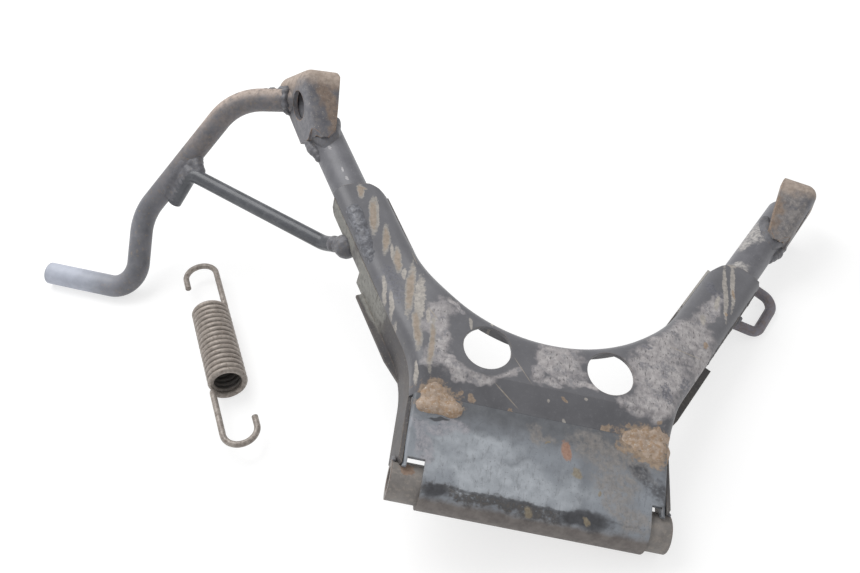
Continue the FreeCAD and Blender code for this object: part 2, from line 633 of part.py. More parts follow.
# ---- assembly -----------------------------------------------------------------------------------
def stand_parts():
    """Every piece of the stand, in its own frame."""
    outside = body_envelope(0)
    sheet_walls = body_block(0, 0).cut(body_block(SHEET, -5))
    front = front_shell(outside, body_envelope(SHEET))
    rear = rear_shell(sheet_walls)
    plate = apron()
    shoe = foot_shoe()
    tube = pivot_tube()
    right_skin = on_leg(shoe_block(0), 1)
    run = LEFT_LEG_END - LEG_START
    right_leg = Part.makeCylinder(LEG_RADIUS, run, leg_point(LEG_START, 0, 0, 1), V(SIN, COS, 0))
    right_sleeve = on_leg(sleeve_block(0), 1)
    left_skin, left_leg, left_sleeve = [mirrored(s) for s in (right_skin, right_leg, right_sleeve)]
    lever = foot_lever(left_skin)
    brace = lever_brace([left_sleeve, lever])
    eye = spring_eye([right_sleeve, right_leg])
    corner = [outside, under_apron(), tube]
    pieces = {
        "front_shell": front,
        "apron_plate": plate,
        "pivot_tube": tube,
        "foot_lever": lever,
        "lever_brace": brace,
        "spring_eye": eye,
        "left_crease_weld": crease_weld(-44.0, -70.0, 4.6, CREASE_Z, corner),
        "right_crease_weld": crease_weld(66.0, 46.0, 4.4, CREASE_Z - 1.5, corner),
        "lever_weld": lever_weld([left_skin, left_leg, lever]),
        "brace_lever_weld": brace_lever_weld([lever, brace]),
        "brace_leg_weld": brace_leg_weld([left_sleeve, brace, left_leg]),
        "spring_eye_welds": eye_welds([right_sleeve, right_leg, eye]),
    }
    sleeve_fill = on_leg(box((-5, -60, -8), (SLEEVE_OUTER, 20, 7)), 1)
    side_seam = seam_weld(SLEEVE_OUTER + 0.3, SEAM_Z - LEG_Z + 0.6, SLEEVE_END - 5, -44, 2.0,
                          [outside, right_sleeve, sleeve_fill, rear])
    corner_seam = seam_weld(10.4, 11.0, 20, -28, 3.4, [outside])
    pieces["right_seam_weld"] = side_seam
    pieces["left_seam_weld"] = mirrored(corner_seam)
    foot = foot_weld([right_leg, shoe])
    pivot = pivot_weld([tube, rear])
    pieces["right_leg_tube"] = leg_tube(LEG_END)
    pieces["left_leg_tube"] = mirrored(leg_tube(LEFT_LEG_END))
    for name, shape in (("rear_shell", rear), ("foot_shoe", shoe), ("foot_weld", foot), ("pivot_weld", pivot)):
        pieces["right_" + name] = shape
        pieces["left_" + name] = mirrored(shape)
    return pieces


def spring_parts():
    """The loose return spring: one wire, cut where the stretching coil meets each hook."""
    return {
        "spring_coil": spring_coil(),
        "spring_fixed_hook": spring_hook(HOOK_TURN, -FAR_HOOK + WIRE_RADIUS + COIL_RADIUS, -FAR_TIP, 0),
        "spring_moving_hook": spring_hook(COIL_TURNS - HOOK_TURN, NEAR_HOOK - WIRE_RADIUS - COIL_RADIUS,
                                          NEAR_TIP, 0.3),
    }


parts = {name: lay_down(shape) for name, shape in stand_parts().items()}
lowest = min(shape.optimalBoundingBox(False, False).ZMin for shape in parts.values())
for shape in parts.values():
    shape.translate(V(0, 0, -lowest))
parts.update(spring_parts())
bounds = FreeCAD.BoundBox()
for shape in parts.values():
    bounds.add(shape.optimalBoundingBox(False, False))
for name, shape in parts.items():
    shape.translate(V(-bounds.Center.x, -bounds.Center.y, -bounds.ZMin))
    shape.exportStep("parts/" + name + ".step")
    print(name, shape.ShapeType, shape.isValid(), len(shape.Solids), round(shape.Volume, 1))
print(bounds)
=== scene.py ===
# %% [markdown]
# # A scooter's centre stand and its loose return spring
# The real stand is a welded frame: pressed sheet, tubes and bent bars under one coat of black
# enamel, years old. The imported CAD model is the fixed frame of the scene. This script gives its
# pieces worn finishes, and models again in mesh what CAD leaves plain: weld beads and spring wire.

# %% Load the frame
import json
import math
import random
import bmesh
import bpy
from mathutils import Euler, Matrix, Vector


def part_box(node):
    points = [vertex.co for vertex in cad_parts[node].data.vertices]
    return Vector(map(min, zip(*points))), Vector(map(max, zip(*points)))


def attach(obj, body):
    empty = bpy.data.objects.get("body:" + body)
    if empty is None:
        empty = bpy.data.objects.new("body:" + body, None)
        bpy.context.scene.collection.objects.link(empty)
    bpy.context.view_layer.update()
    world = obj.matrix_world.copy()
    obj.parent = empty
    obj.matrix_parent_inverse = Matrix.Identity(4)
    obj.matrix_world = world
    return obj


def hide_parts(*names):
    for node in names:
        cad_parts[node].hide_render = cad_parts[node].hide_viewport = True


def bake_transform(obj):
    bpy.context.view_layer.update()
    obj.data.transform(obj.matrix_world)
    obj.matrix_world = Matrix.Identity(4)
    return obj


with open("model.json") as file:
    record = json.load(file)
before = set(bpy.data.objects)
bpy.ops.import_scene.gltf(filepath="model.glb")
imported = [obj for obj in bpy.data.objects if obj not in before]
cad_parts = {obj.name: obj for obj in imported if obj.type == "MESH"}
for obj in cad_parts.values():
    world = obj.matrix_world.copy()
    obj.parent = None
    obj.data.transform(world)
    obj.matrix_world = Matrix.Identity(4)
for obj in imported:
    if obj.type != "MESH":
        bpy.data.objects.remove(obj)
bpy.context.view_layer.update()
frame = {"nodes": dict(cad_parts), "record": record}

nodes = frame["nodes"]

# %% [markdown]
# ## The stand's own axes
# The stand lies tilted, propped on its lever. Its wear follows its own shape and not the table, so
# marks are placed in the stand's axes: X along the pivot tube, Y towards the feet, Z to the front,
# in millimetres from the middle of the tube. A matrix takes such a place into the scene's metres.

# %% Stand axes and leg axes
MM = 0.001
LAY_ABOUT_X = math.radians(6.31)
LAY_ABOUT_Y = math.radians(14.64)
LEG_ANGLE = math.radians(30)
LEG_POINT = Vector((108.7, 150.0, 7.5))

tube_low, tube_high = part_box("pivot_tube")
PIVOT = (tube_low + tube_high) / 2
LAY = Euler((LAY_ABOUT_X, LAY_ABOUT_Y, 0))
STAND = Matrix.Translation(PIVOT) @ LAY.to_matrix().to_4x4() @ Matrix.Scale(MM, 4)
print("middle of the pivot tube:", [round(v, 4) for v in PIVOT])


def leg_place(along, outward, front, side):
    """Place in the stand's axes from leg axes: along the leg, out from its middle, to the front."""
    x = LEG_POINT.x + along * math.sin(LEG_ANGLE) + outward * math.cos(LEG_ANGLE)
    y = LEG_POINT.y + along * math.cos(LEG_ANGLE) - outward * math.sin(LEG_ANGLE)
    return Vector((side * x, y, LEG_POINT.z + front))


# %% [markdown]
# ## Camera
# One camera looks down at the stand from in front of its pivot tube. A CAD bounding box gives the
# tube's place, so the camera is tied to it and follows if the model shifts on its origin. Its
# place is in millimetres from the tube's middle, and its turns are in degrees.

# %% Camera
LENS = 39.14
SENSOR_WIDTH = 36.0
CAMERA_PLACE = Vector((-5.043, -257.428, 433.638))
CAMERA_TURNS = (43.924, 2.776, 5.634)
camera_data = bpy.data.cameras.new("camera")
camera_data.lens = LENS
camera_data.sensor_width = SENSOR_WIDTH
camera = bpy.data.objects.new("camera", camera_data)
camera.location = PIVOT + CAMERA_PLACE * MM
camera.rotation_euler = [math.radians(angle) for angle in CAMERA_TURNS]
bpy.context.scene.collection.objects.link(camera)
bpy.context.scene.camera = camera
print("camera at", [round(v, 3) for v in camera.location])

# %% [markdown]
# ## Light
# A white room gives most of the light, and one wide softbox above the left side gives the satin
# paint its soft highlights and the floor its faint shadows. The level is plain: a colour renders
# about as it is written. The camera sees the room as pure white, but it lights less than that.

# %% White room
WHITE = (1.0, 1.0, 1.0)
ROOM_LEVEL = 0.62
scene = bpy.context.scene
scene.view_settings.view_transform = "Standard"
world = bpy.data.worlds.new("white room")
scene.world = world
world.use_nodes = True
room = world.node_tree.nodes["Background"]
room.inputs["Color"].default_value = (*WHITE, 1)
seen_room = world.node_tree.nodes.new("ShaderNodeLightPath")
brightness = world.node_tree.nodes.new("ShaderNodeMath")
brightness.operation = "MAXIMUM"
brightness.inputs[1].default_value = ROOM_LEVEL
world.node_tree.links.new(seen_room.outputs["Is Camera Ray"], brightness.inputs[0])
world.node_tree.links.new(brightness.outputs[0], room.inputs["Strength"])
print("room lights at", ROOM_LEVEL)

# %% Softbox
SOFTBOX_SIZE = 0.9
SOFTBOX_WATTS = 9.0
SOFTBOX_PLACE = Vector((-0.55, 0.45, 1.0))
softbox_data = bpy.data.lights.new("softbox", "AREA")
softbox_data.shape = "SQUARE"
softbox_data.size = SOFTBOX_SIZE
softbox_data.energy = SOFTBOX_WATTS
softbox = bpy.data.objects.new("softbox", softbox_data)
softbox.location = SOFTBOX_PLACE
softbox.rotation_euler = (-SOFTBOX_PLACE).to_track_quat("-Z", "Y").to_euler()
scene.collection.objects.link(softbox)
print("softbox", SOFTBOX_SIZE, "m wide at", list(SOFTBOX_PLACE))

# %% [markdown]
# ## Helpers for finishes
# Every finish here is a stack: a ground coat of metal or enamel, and on top what the years added,
# each laid on through masks. A painted image could hold the same wear, but it would blur in a close
# view and would need an unwrapped surface; masks from noise and distance stay sharp and follow the
# part. One small function adds a node with its settings and links, and a few more make the masks.

# %% Colour and node helpers


def linear(hex_code):
    """Scene-linear colour from an sRGB hex code."""
    parts = [int(hex_code[i:i + 2], 16) / 255 for i in (1, 3, 5)]
    return (*[c / 12.92 if c <= 0.04045 else ((c + 0.055) / 1.055) ** 2.4 for c in parts], 1.0)


def add_node(tree, kind, settings, inputs):
    """Add a node, set its properties, and set or link its inputs."""
    node = tree.nodes.new(kind)
    for name, value in settings.items():
        setattr(node, name, value)
    for name, value in inputs.items():
        if isinstance(value, bpy.types.NodeSocket):
            tree.links.new(value, node.inputs[name])
        else:
            node.inputs[name].default_value = value
    return node


# %% Starting a finish


def start_finish(name, deep, light, size, roughness, origin=PIVOT, turn=LAY):
    """New material with a mottled ground colour, as a stack that other layers go on.

    Its axes are the stand's own unless others are given, in millimetres; size is the mottling's.
    """
    material = bpy.data.materials.new(name)
    material.use_nodes = True
    tree = material.node_tree
    tree.nodes.clear()
    place = add_node(tree, "ShaderNodeTexCoord", {}, {})
    axes = add_node(tree, "ShaderNodeMapping", {"vector_type": "TEXTURE"},
                    {"Vector": place.outputs["Object"], "Location": origin, "Rotation": turn,
                     "Scale": (MM, MM, MM)}).outputs[0]
    finish = {"material": material, "tree": tree, "axes": axes, "roughness": roughness, "height": 0.0}
    finish["colour"] = add_node(tree, "ShaderNodeMix", {"data_type": "RGBA"},
                                {0: fade(finish, cloud(finish, size), 0.3, 0.7),
                                 6: linear(deep), 7: linear(light)}).outputs[2]
    return finish


# %% Masks from noise


def fade(finish, value, low, high):
    """Mask that goes smoothly from 0 where the value is low to 1 where it is high."""
    return add_node(finish["tree"], "ShaderNodeMapRange", {"interpolation_type": "SMOOTHSTEP"},
                    {"Value": value, "From Min": low, "From Max": high}).outputs[0]


def cloud(finish, size, detail=4.0, stretch=(1, 1, 1)):
    """Fractal noise whose blobs are about size millimetres wide, stretched along the axes.

    The noise carries its own scale, because every separate Mapping node would take up shader memory.
    """
    noise = add_node(finish["tree"], "ShaderNodeTexNoise", {},
                     {"Vector": finish["axes"], "Scale": 1.0, "Detail": detail, "Roughness": 0.62})
    noise.texture_mapping.scale = [1 / (size * part) for part in stretch]
    return noise.outputs["Fac"]


def blotches(finish, size, cover, soft=0.04, stretch=(1, 1, 1)):
    """Mask of irregular blotches; cover runs from 0, none, to 1, all."""
    level = 0.72 - 0.44 * cover
    return fade(finish, cloud(finish, size, 4.0, stretch), level - soft, level + soft)


def ragged(finish, value, grain, depth):
    """A distance whose level lines are torn: moved up and down by half of depth in blobs of grain."""
    centred = add_node(finish["tree"], "ShaderNodeMath", {"operation": "SUBTRACT"},
                       {0: cloud(finish, grain, 5.0), 1: 0.5}).outputs[0]
    return add_node(finish["tree"], "ShaderNodeMath", {"operation": "MULTIPLY_ADD"},
                    {0: centred, 1: 2 * depth, 2: value}).outputs[0]


# %% Masks from marked places


def reach(finish, streaks, torn, grain, sway=0.0):
    """Distance from the nearest of some streaks, as a share: 0 on its middle, 1 at its edge.

    A streak is given by both its ends and its half width, in millimetres in the stand's X and Y.
    torn and grain roughen the edges; sway bends every streak by about so many millimetres.
    """
    tree = finish["tree"]
    drift = add_node(tree, "ShaderNodeTexNoise", {"normalize": False},
                     {"Vector": finish["axes"], "Scale": 0.09, "Detail": 2.0}).outputs["Color"]
    axes = add_node(tree, "ShaderNodeVectorMath", {"operation": "MULTIPLY_ADD"},
                    {0: drift, 1: (2 * sway, 2 * sway, 0), 2: finish["axes"]}).outputs[0]
    closest = 0.0
    for x1, y1, x2, y2, half_width in streaks:
        ball = add_node(tree, "ShaderNodeTexGradient", {"gradient_type": "SPHERICAL"}, {"Vector": axes})
        ball.texture_mapping.vector_type = "TEXTURE"
        ball.texture_mapping.translation = ((x1 + x2) / 2, (y1 + y2) / 2, 0)
        ball.texture_mapping.rotation = (0, 0, math.atan2(y2 - y1, x2 - x1))
        ball.texture_mapping.scale = (math.hypot(x2 - x1, y2 - y1), 2 * half_width, 1e5)
        closest = add_node(tree, "ShaderNodeMath", {"operation": "MAXIMUM"},
                           {0: closest, 1: ball.outputs["Fac"]}).outputs[0]
    share = add_node(tree, "ShaderNodeMath", {"operation": "MULTIPLY_ADD"},
                     {0: closest, 1: -2, 2: 2}).outputs[0]
    return ragged(finish, share, grain, torn)


def patches(finish, streaks, outer, inner, torn, grain, sway=0.0):
    """Mask of streaks that starts at the outer share of their width and is whole at the inner one."""
    return fade(finish, reach(finish, streaks, torn, grain, sway), outer, inner)


# %% Masks from distance and direction


def level_along(finish, direction):
    """How far each point lies along a direction from the middle of the finish's axes."""
    return add_node(finish["tree"], "ShaderNodeVectorMath", {"operation": "DOT_PRODUCT"},
                    {0: finish["axes"], 1: Vector(direction).normalized()}).outputs["Value"]


def from_centre(finish, centre):
    """Distance from a line square to the front, given by its X and Y, in millimetres."""
    flat = add_node(finish["tree"], "ShaderNodeVectorMath", {"operation": "MULTIPLY"},
                    {0: finish["axes"], 1: (1, 1, 0)}).outputs[0]
    return add_node(finish["tree"], "ShaderNodeVectorMath", {"operation": "DISTANCE"},
                    {0: flat, 1: (*centre, 0)}).outputs["Value"]


def band(finish, direction, low, high, grain, depth):
    """Mask that fades in along a direction, from low to high, with a torn edge."""
    return fade(finish, ragged(finish, level_along(finish, direction), grain, depth), low, high)


def ring(finish, centre, low, high, grain, depth):
    """Mask that fades in with the distance from a centre, from low to high, with a torn edge."""
    return fade(finish, ragged(finish, from_centre(finish, centre), grain, depth), low, high)


def facing(finish, direction, low, high):
    """Mask of the surface that faces a direction given in the stand's axes."""
    normal = add_node(finish["tree"], "ShaderNodeNewGeometry", {}, {}).outputs["Normal"]
    turned = add_node(finish["tree"], "ShaderNodeVectorMath", {"operation": "DOT_PRODUCT"},
                      {0: normal, 1: LAY.to_matrix() @ Vector(direction).normalized()}).outputs["Value"]
    return fade(finish, turned, low, high)


def edges(finish, width):
    """Mask of the outside edges, where paint wears through first."""
    rounded = add_node(finish["tree"], "ShaderNodeBevel", {"samples": 4},
                       {"Radius": width * MM}).outputs[0]
    flat = add_node(finish["tree"], "ShaderNodeNewGeometry", {}, {}).outputs["Normal"]
    turn = add_node(finish["tree"], "ShaderNodeVectorMath", {"operation": "DOT_PRODUCT"},
                    {0: rounded, 1: flat}).outputs["Value"]
    return fade(finish, turn, 0.985, 0.90)


# %% Layers and the end of a finish


def lay(finish, masks, deep, light, size, roughness, height=None):
    """Lay a mottled layer where all its masks hold.

    deep and light are its two colours, size the width of its mottling in millimetres, and height
    its level in millimetres, if it has one. Layers on streaks have none: Bump reads the height
    three times over, and a long list of streaks would then be more than the shader can hold.
    """
    tree, cover = finish["tree"], masks[0]
    for mask in masks[1:]:
        cover = add_node(tree, "ShaderNodeMath", {"operation": "MULTIPLY"},
                         {0: cover, 1: mask}).outputs[0]
    colour = add_node(tree, "ShaderNodeMix", {"data_type": "RGBA"},
                      {0: fade(finish, cloud(finish, size), 0.32, 0.68), 6: linear(deep),
                       7: linear(light)})
    finish["colour"] = add_node(tree, "ShaderNodeMix", {"data_type": "RGBA"},
                                {0: cover, 6: finish["colour"], 7: colour.outputs[2]}).outputs[2]
    finish["roughness"] = add_node(tree, "ShaderNodeMix", {},
                                   {0: cover, 2: finish["roughness"], 3: roughness}).outputs[0]
    if height is not None:
        finish["height"] = add_node(tree, "ShaderNodeMix", {},
                                    {0: cover, 2: finish["height"], 3: height}).outputs[0]


def end_finish(finish, metallic, grit_size, grit_depth, edge=0.6):
    """Close a finish with its fine grit, rounded edges and shader; returns the material."""
    tree = finish["tree"]
    height = add_node(tree, "ShaderNodeMath", {"operation": "MULTIPLY_ADD"},
                      {0: cloud(finish, grit_size, 6.0), 1: grit_depth, 2: finish["height"]}).outputs[0]
    rounded = add_node(tree, "ShaderNodeBevel", {"samples": 4}, {"Radius": edge * MM}).outputs[0]
    bump = add_node(tree, "ShaderNodeBump", {}, {"Height": height, "Distance": MM, "Normal": rounded})
    shader = add_node(tree, "ShaderNodeBsdfPrincipled", {},
                      {"Base Color": finish["colour"], "Roughness": finish["roughness"],
                       "Metallic": metallic, "Normal": bump.outputs[0]})
    add_node(tree, "ShaderNodeOutputMaterial", {}, {"Surface": shader.outputs[0]})
    print("finish", finish["material"].name, "-", len(tree.nodes), "nodes")
    return finish["material"]


# %% [markdown]
# ## Worn enamel on the pressed shell
# Black baked enamel over pressed steel, satin and dark. Boots and road grit have rubbed it to a
# chalky grey on the flats and left it whole in the folds: along the arch, round the left hole and
# down the skirt. Handling cut long scrapes down the left leg: pale at their torn edges, tan inside.
# Wear on a used part is not the same all over, so each patch is a streak with two ends and a half
# width, and noise tears its edge. The grit of real enamel is about 0.1 mm; it is drawn eight times
# as coarse, because finer grit would not show.

# %% Where the shell is worn
ARCH_CENTRE = (0.0, 181.4)
ARCH_RADIUS = 92.9
LEFT_HOLE = (-35.0, 74.6)
HOLE_RADIUS = 13.5
ARCH_FOLD_WIDTH = (0.5, 3.5)
HOLE_RIM_WIDTH = (3.0, 5.5)

CHALKY = [
    (41, 74, 84, 88, 15.5), (44, 62, 76, 61, 7.5), (48, 91, 80, 106, 8.0), (66, 92, 98, 130, 12.0),
    (88, 116, 108, 152, 5.5), (39, 59, 50, 57.5, 3.0), (76, 62, 99, 104, 3.4), (84, 84, 102, 117, 6.0),
    (-8, 74, 20, 75, 11.0), (-5, 60, -2, 89, 4.5), (2, 65, 31, 62.5, 3.2), (-6, 61, 6, 61, 2.4),
    (-63.5, 99, -59.5, 56, 8.2), (-63, 61, -43, 54, 4.2), (-47, 55.5, -27, 56, 3.0),
    (-31, 56, -16, 63.5, 3.4), (-62, 101.5, -49, 95, 1.8), (-57, 67, -51, 61, 3.0),
]
SCRAPES = [
    (-121.8, 178, -119.6, 166.5, 2.2), (-124, 175.4, -117.4, 174.6, 1.4),
    (-112.8, 170.5, -108.2, 140.5, 3.2), (-101.8, 151, -98.8, 128, 2.5),
    (-93.6, 135.5, -89.2, 115.5, 2.3), (-82.9, 124, -80.6, 86, 2.8), (-77.6, 94, -71.6, 64.5, 2.6),
    (-66.7, 87, -64.7, 53, 1.9),
]
PALE_MARKS = [
    (-77, 116, -74, 80, 3.2), (-46.3, 92, -45.2, 84, 1.1), (-33.2, 97, -33.4, 89.5, 0.9),
    (-110.2, 168, -106.4, 147, 1.6), (-87.4, 120, -85.8, 111, 1.4), (-96.6, 137, -93.6, 124, 1.1),
    (111.6, 179, 109.6, 132, 1.7), (117.6, 183, 114.2, 141, 1.6), (111.4, 183, 119.6, 178, 2.4),
    (-98, 113, -93.4, 96, 1.3), (-92.4, 105, -88.4, 87, 1.2), (-86.4, 85, -83.4, 66, 1.3),
    (-79.8, 71, -77, 51, 1.3), (-72.4, 60, -70.4, 47, 1.0), (95, 135, 94, 126, 2.2),
    (-70, 93, -69, 82, 1.2), (106, 152, 103, 140, 1.6), (20.6, 55.6, 22.4, 55, 0.8),
    (0.8, 51.2, 2.8, 50, 0.8), (10.4, 44.6, 12.8, 41.2, 1.0),
]
RUST_SPOTS = [
    (-41, 45.4, -36.4, 41.8, 2.3), (-20.8, 43.8, -15.8, 42.2, 1.6), (-48.4, 47, -45.8, 44.4, 1.7),
    (7.2, 54.4, 12.6, 54.2, 0.9), (61.3, 53.9, 65.2, 52.7, 1.3), (30.8, 44.4, 39, 43.2, 2.8),
    (40, 43, 75, 45, 6.4), (116.2, 158.6, 115.4, 150.6, 1.3), (112.4, 142, 111.7, 138, 1.3),
    (93.4, 113.3, 97.8, 112.3, 1.5), (-70, 47, -44, 41, 4.8),
]
SCUFFS = [(64.5, 76, 70, 61, 3.4), (78, 84, 82, 72, 2.4), (51.5, 99.4, 58.5, 98, 1.4),
          (-98, 120, -86, 96, 5.0), (99, 161, 107, 149, 3.4)]
SCRATCHES = [(-29.2, 54.4, -14.6, 44.8, 0.3), (-20, 72, -9.6, 58, 0.2), (70.5, 102, 92, 101.4, 0.3),
             (-84, 133, -80, 124, 0.3), (-70, 93, -64, 86, 0.3)]
print("marks on the shell:", sum(map(len, (CHALKY, SCRAPES, PALE_MARKS, RUST_SPOTS, SCUFFS,
                                           SCRATCHES))))

# %% Front shell finish
shell = start_finish("worn black baked enamel on pressed steel", "#5c5c60", "#6b6b6f", 24.0, 0.40)
lay(shell, [blotches(shell, 1.7, 0.22, 0.08), 0.3], "#77767a", "#858487", 3.0, 0.55)
haze = ring(shell, ARCH_CENTRE, 136.0, 122.0, 12.0, 12.0)
lay(shell, [haze, 0.35], "#6f6f73", "#7b7b7f", 9.0, 0.45)
off_band = ring(shell, ARCH_CENTRE, *[ARCH_RADIUS + width for width in ARCH_FOLD_WIDTH], 4.0, 2.5)
off_ring = ring(shell, LEFT_HOLE, *[HOLE_RADIUS + width for width in HOLE_RIM_WIDTH], 5.0, 2.5)
chalk = reach(shell, CHALKY, 0.62, 5.0, 2.5)
lay(shell, [fade(shell, chalk, 1.22, 0.86), off_band, off_ring,
            blotches(shell, 1.8, 0.80, 0.12, (1, 2.2, 1))], "#827f81", "#989496", 4.0, 0.6)
lay(shell, [fade(shell, chalk, 1.0, 0.55), off_band, off_ring,
            blotches(shell, 2.0, 0.78, 0.12, (1, 3.0, 1)), 0.85], "#a19c9d", "#c2bebd", 3.4, 0.66)
lay(shell, [fade(shell, chalk, 1.0, 0.7), off_band, blotches(shell, 9.0, 0.38, 0.06),
            blotches(shell, 1.5, 0.62, 0.1), 0.75], "#737378", "#858489", 3.0, 0.55)
lay(shell, [fade(shell, chalk, 1.1, 0.7), off_band, blotches(shell, 1.3, 0.25, 0.05, (1, 2.0, 1)), 0.8],
    "#5c5a5b", "#726f70", 2.0, 0.7)
lay(shell, [patches(shell, SCUFFS, 1.15, 0.75, 0.8, 2.0, 2.0), blotches(shell, 1.5, 0.55, 0.1), 0.8],
    "#55565e", "#74757e", 1.6, 0.5)
pale = reach(shell, PALE_MARKS, 0.55, 1.6, 0.4)
lay(shell, [fade(shell, pale, 1.08, 0.75), blotches(shell, 1.2, 0.9, 0.12), 0.9], "#9a9590", "#bab4ac",
    2.0, 0.66)
scrape = reach(shell, SCRAPES, 0.5, 2.4, 0.4)
lay(shell, [fade(shell, scrape, 1.1, 0.85), blotches(shell, 1.4, 0.9, 0.12), 0.9], "#8d8985", "#a9a49d",
    2.2, 0.66)
lay(shell, [fade(shell, scrape, 0.88, 0.5), 0.8], "#8f8172", "#a99a8c", 2.6, 0.8)
spots = reach(shell, RUST_SPOTS, 0.9, 2.2, 1.5)
lay(shell, [fade(shell, spots, 1.1, 0.7), blotches(shell, 2.0, 0.9, 0.12), 0.9], "#8f7d6c", "#aa9785",
    2.0, 0.85)
lay(shell, [patches(shell, SCRATCHES, 1.3, 0.7, 0.5, 1.0), 0.8], "#948a7e", "#b0a79a", 2.0, 0.6)
above_crease = fade(shell, level_along(shell, (0, 1, 0)), 46.0, 54.0)
lay(shell, [edges(shell, 0.8), above_crease, blotches(shell, 5.0, 0.55, 0.10), 0.8], "#7d7169",
    "#95897f", 2.0, 0.75)
shell_paint = end_finish(shell, 0.0, 0.8, 0.035)

# %% [markdown]
# ## The apron
# The folded apron took the wheel's spray: its enamel is polished thin to blue grey, with whole
# black paint only in a line along the fold and in smuts near the right edge, and rust under the lip.
# A painted highlight lies across its lower part, and painted shade darkens it towards the crease.
# One even colour with noise would miss where these lie, so the painted highlight, the dark line and
# the rust each have their own streaks, laid from the widest to the smallest.

# %% Where the apron is worn
# Painted highlight: paler streaks across the lower apron.
HIGHLIGHT_STREAKS = [(-70, 7, 34, 5, 11.0), (-60, 20, -10, 22, 8.0)]
LILAC = [(-66, 29, -57, 5, 4.5), (-64, 24, -38, 29, 4.0)]
BROWNISH = [(14, 36, 62, 24, 10.0), (-6, 37, 6, 29, 4.0), (36, 4, 62, -4, 7.0), (28, 18, 56, 8, 9.0)]
BLACK_FLAKES = [(-57.5, -6, -45, -7.4, 3.2), (12, -6.6, 41, -5.6, 4.2), (-61, 29.8, -49, 30.5, 0.9)]
SMUTS = [(50, 28, 62, 18, 4.6), (60, 18.5, 71, 13, 5.4), (66, 23, 71, 4, 3.6)]
DARK_LINE = [(-62, -5.4, 30, -7.0, 3.4)]
FOLD_LINE = [(-64, -3.4, 48, -5.0, 0.9)]
APRON_RUST = [(42, 38, 74, 39, 7.0), (52, 34, 70, 31, 4.5), (-70, 37.5, -43, 37.5, 4.4)]
ORANGE = [(12.8, 32.5, 15.6, 22, 3.0)]
OCHRE = [(17.2, 17, 23.4, 15.4, 2.4), (33.4, 9.8, 34.8, 6.2, 1.2), (3.4, 29.6, 4.6, 28.2, 1.0),
         (26, -7, 30, -8, 1.4), (-6, -7, 0, -8, 1.6)]
print("marks on the apron:", sum(map(len, (HIGHLIGHT_STREAKS, LILAC, BROWNISH, BLACK_FLAKES, SMUTS, DARK_LINE,
                                           FOLD_LINE, APRON_RUST, ORANGE, OCHRE))))

# %% Apron finish
apron = start_finish("polished blue grey enamel", "#797d83", "#8f949b", 18.0, 0.38)
# Painted highlight across the lower apron.
lay(apron, [patches(apron, HIGHLIGHT_STREAKS, 1.3, 0.4, 0.5, 9.0, 4.0), 0.85], "#a0a5ab", "#b7bcc2", 7.0, 0.34)
# Painted shade: the apron darkens towards the crease above it.
lay(apron, [band(apron, (0.04, 1, 0), 22.0, 38.0, 7.0, 6.0), 0.92],
    "#5c5e62", "#6a6c70", 6.0, 0.44)
lay(apron, [patches(apron, LILAC, 1.2, 0.6, 0.7, 4.0, 2.0), blotches(apron, 3.0, 0.7, 0.2), 0.7],
    "#8f8c93", "#aba8ad", 3.0, 0.5)
lay(apron, [patches(apron, BROWNISH, 1.3, 0.5, 0.8, 5.0, 3.0), blotches(apron, 3.0, 0.7, 0.15), 0.7],
    "#827d79", "#98928d", 2.6, 0.55)
lay(apron, [blotches(apron, 1.8, 0.28, 0.06, (1, 3.0, 1)), 0.35], "#65676b", "#76787c", 2.0, 0.5)
lay(apron, [blotches(apron, 1.0, 0.16, 0.05), 0.6], "#55555a", "#6a6a6e", 1.5, 0.55)
lay(apron, [band(apron, (0, 0, 1), 10.0, 6.5, 6.0, 2.0)], "#655f5c", "#7b7571", 6.0, 0.6)
lay(apron, [patches(apron, DARK_LINE, 1.3, 0.5, 1.0, 2.4, 1.5), blotches(apron, 1.8, 0.85, 0.14), 0.9],
    "#3a3a3d", "#57524e", 1.8, 0.5)
lay(apron, [patches(apron, FOLD_LINE, 1.3, 0.5, 0.8, 2.4, 0.4), 0.7], "#444548", "#55565a", 3.0, 0.45)
lay(apron, [patches(apron, BLACK_FLAKES, 1.2, 0.65, 0.3, 3.0, 0.9), 0.92], "#38383c", "#4a4b4f", 4.0,
    0.36)
lay(apron, [patches(apron, SMUTS, 1.35, 0.5, 0.6, 3.0, 1.2), blotches(apron, 2.2, 0.8, 0.2), 0.85],
    "#404044", "#57585c", 3.0, 0.42)
lay(apron, [patches(apron, APRON_RUST, 1.1, 0.7, 0.9, 2.6, 1.5), blotches(apron, 2.0, 0.9, 0.12), 0.92],
    "#8f7c69", "#ab9783", 2.4, 0.84)
lay(apron, [patches(apron, ORANGE, 1.15, 0.75, 0.5, 2.0, 0.5), 0.85], "#9a7460", "#b08a75", 2.0, 0.8)
lay(apron, [patches(apron, OCHRE, 1.2, 0.6, 0.8, 2.0, 1.0), 0.8], "#877a66", "#99907c", 1.6, 0.8)
lip = band(apron, (0, 0, 1), -7.0, -9.0, 4.0, 2.6)
lay(apron, [lip], "#5b4238", "#7a5a49", 2.0, 0.85, 0.03)
below_crease = fade(apron, level_along(apron, (0, 1, 0)), 34.0, 28.0)
lay(apron, [edges(apron, 0.9), below_crease, blotches(apron, 5.0, 0.55, 0.10), 0.8], "#7f766f",
    "#9a938d", 2.0, 0.7)
apron_paint = end_finish(apron, 0.0, 1.1, 0.03)

# %% [markdown]
# ## Side walls and tubes
# Here the enamel is mostly whole, under road dust that dried brown grey and takes its gloss. The
# legs carry bright nicks, and the right one a scoured patch where its shoe was welded on and the
# heat loosened the paint. The pivot tube never had much paint and is matt brown. Both walls could
# share the shell's finish, but dust lies on them in broad clouds, so they have their own.

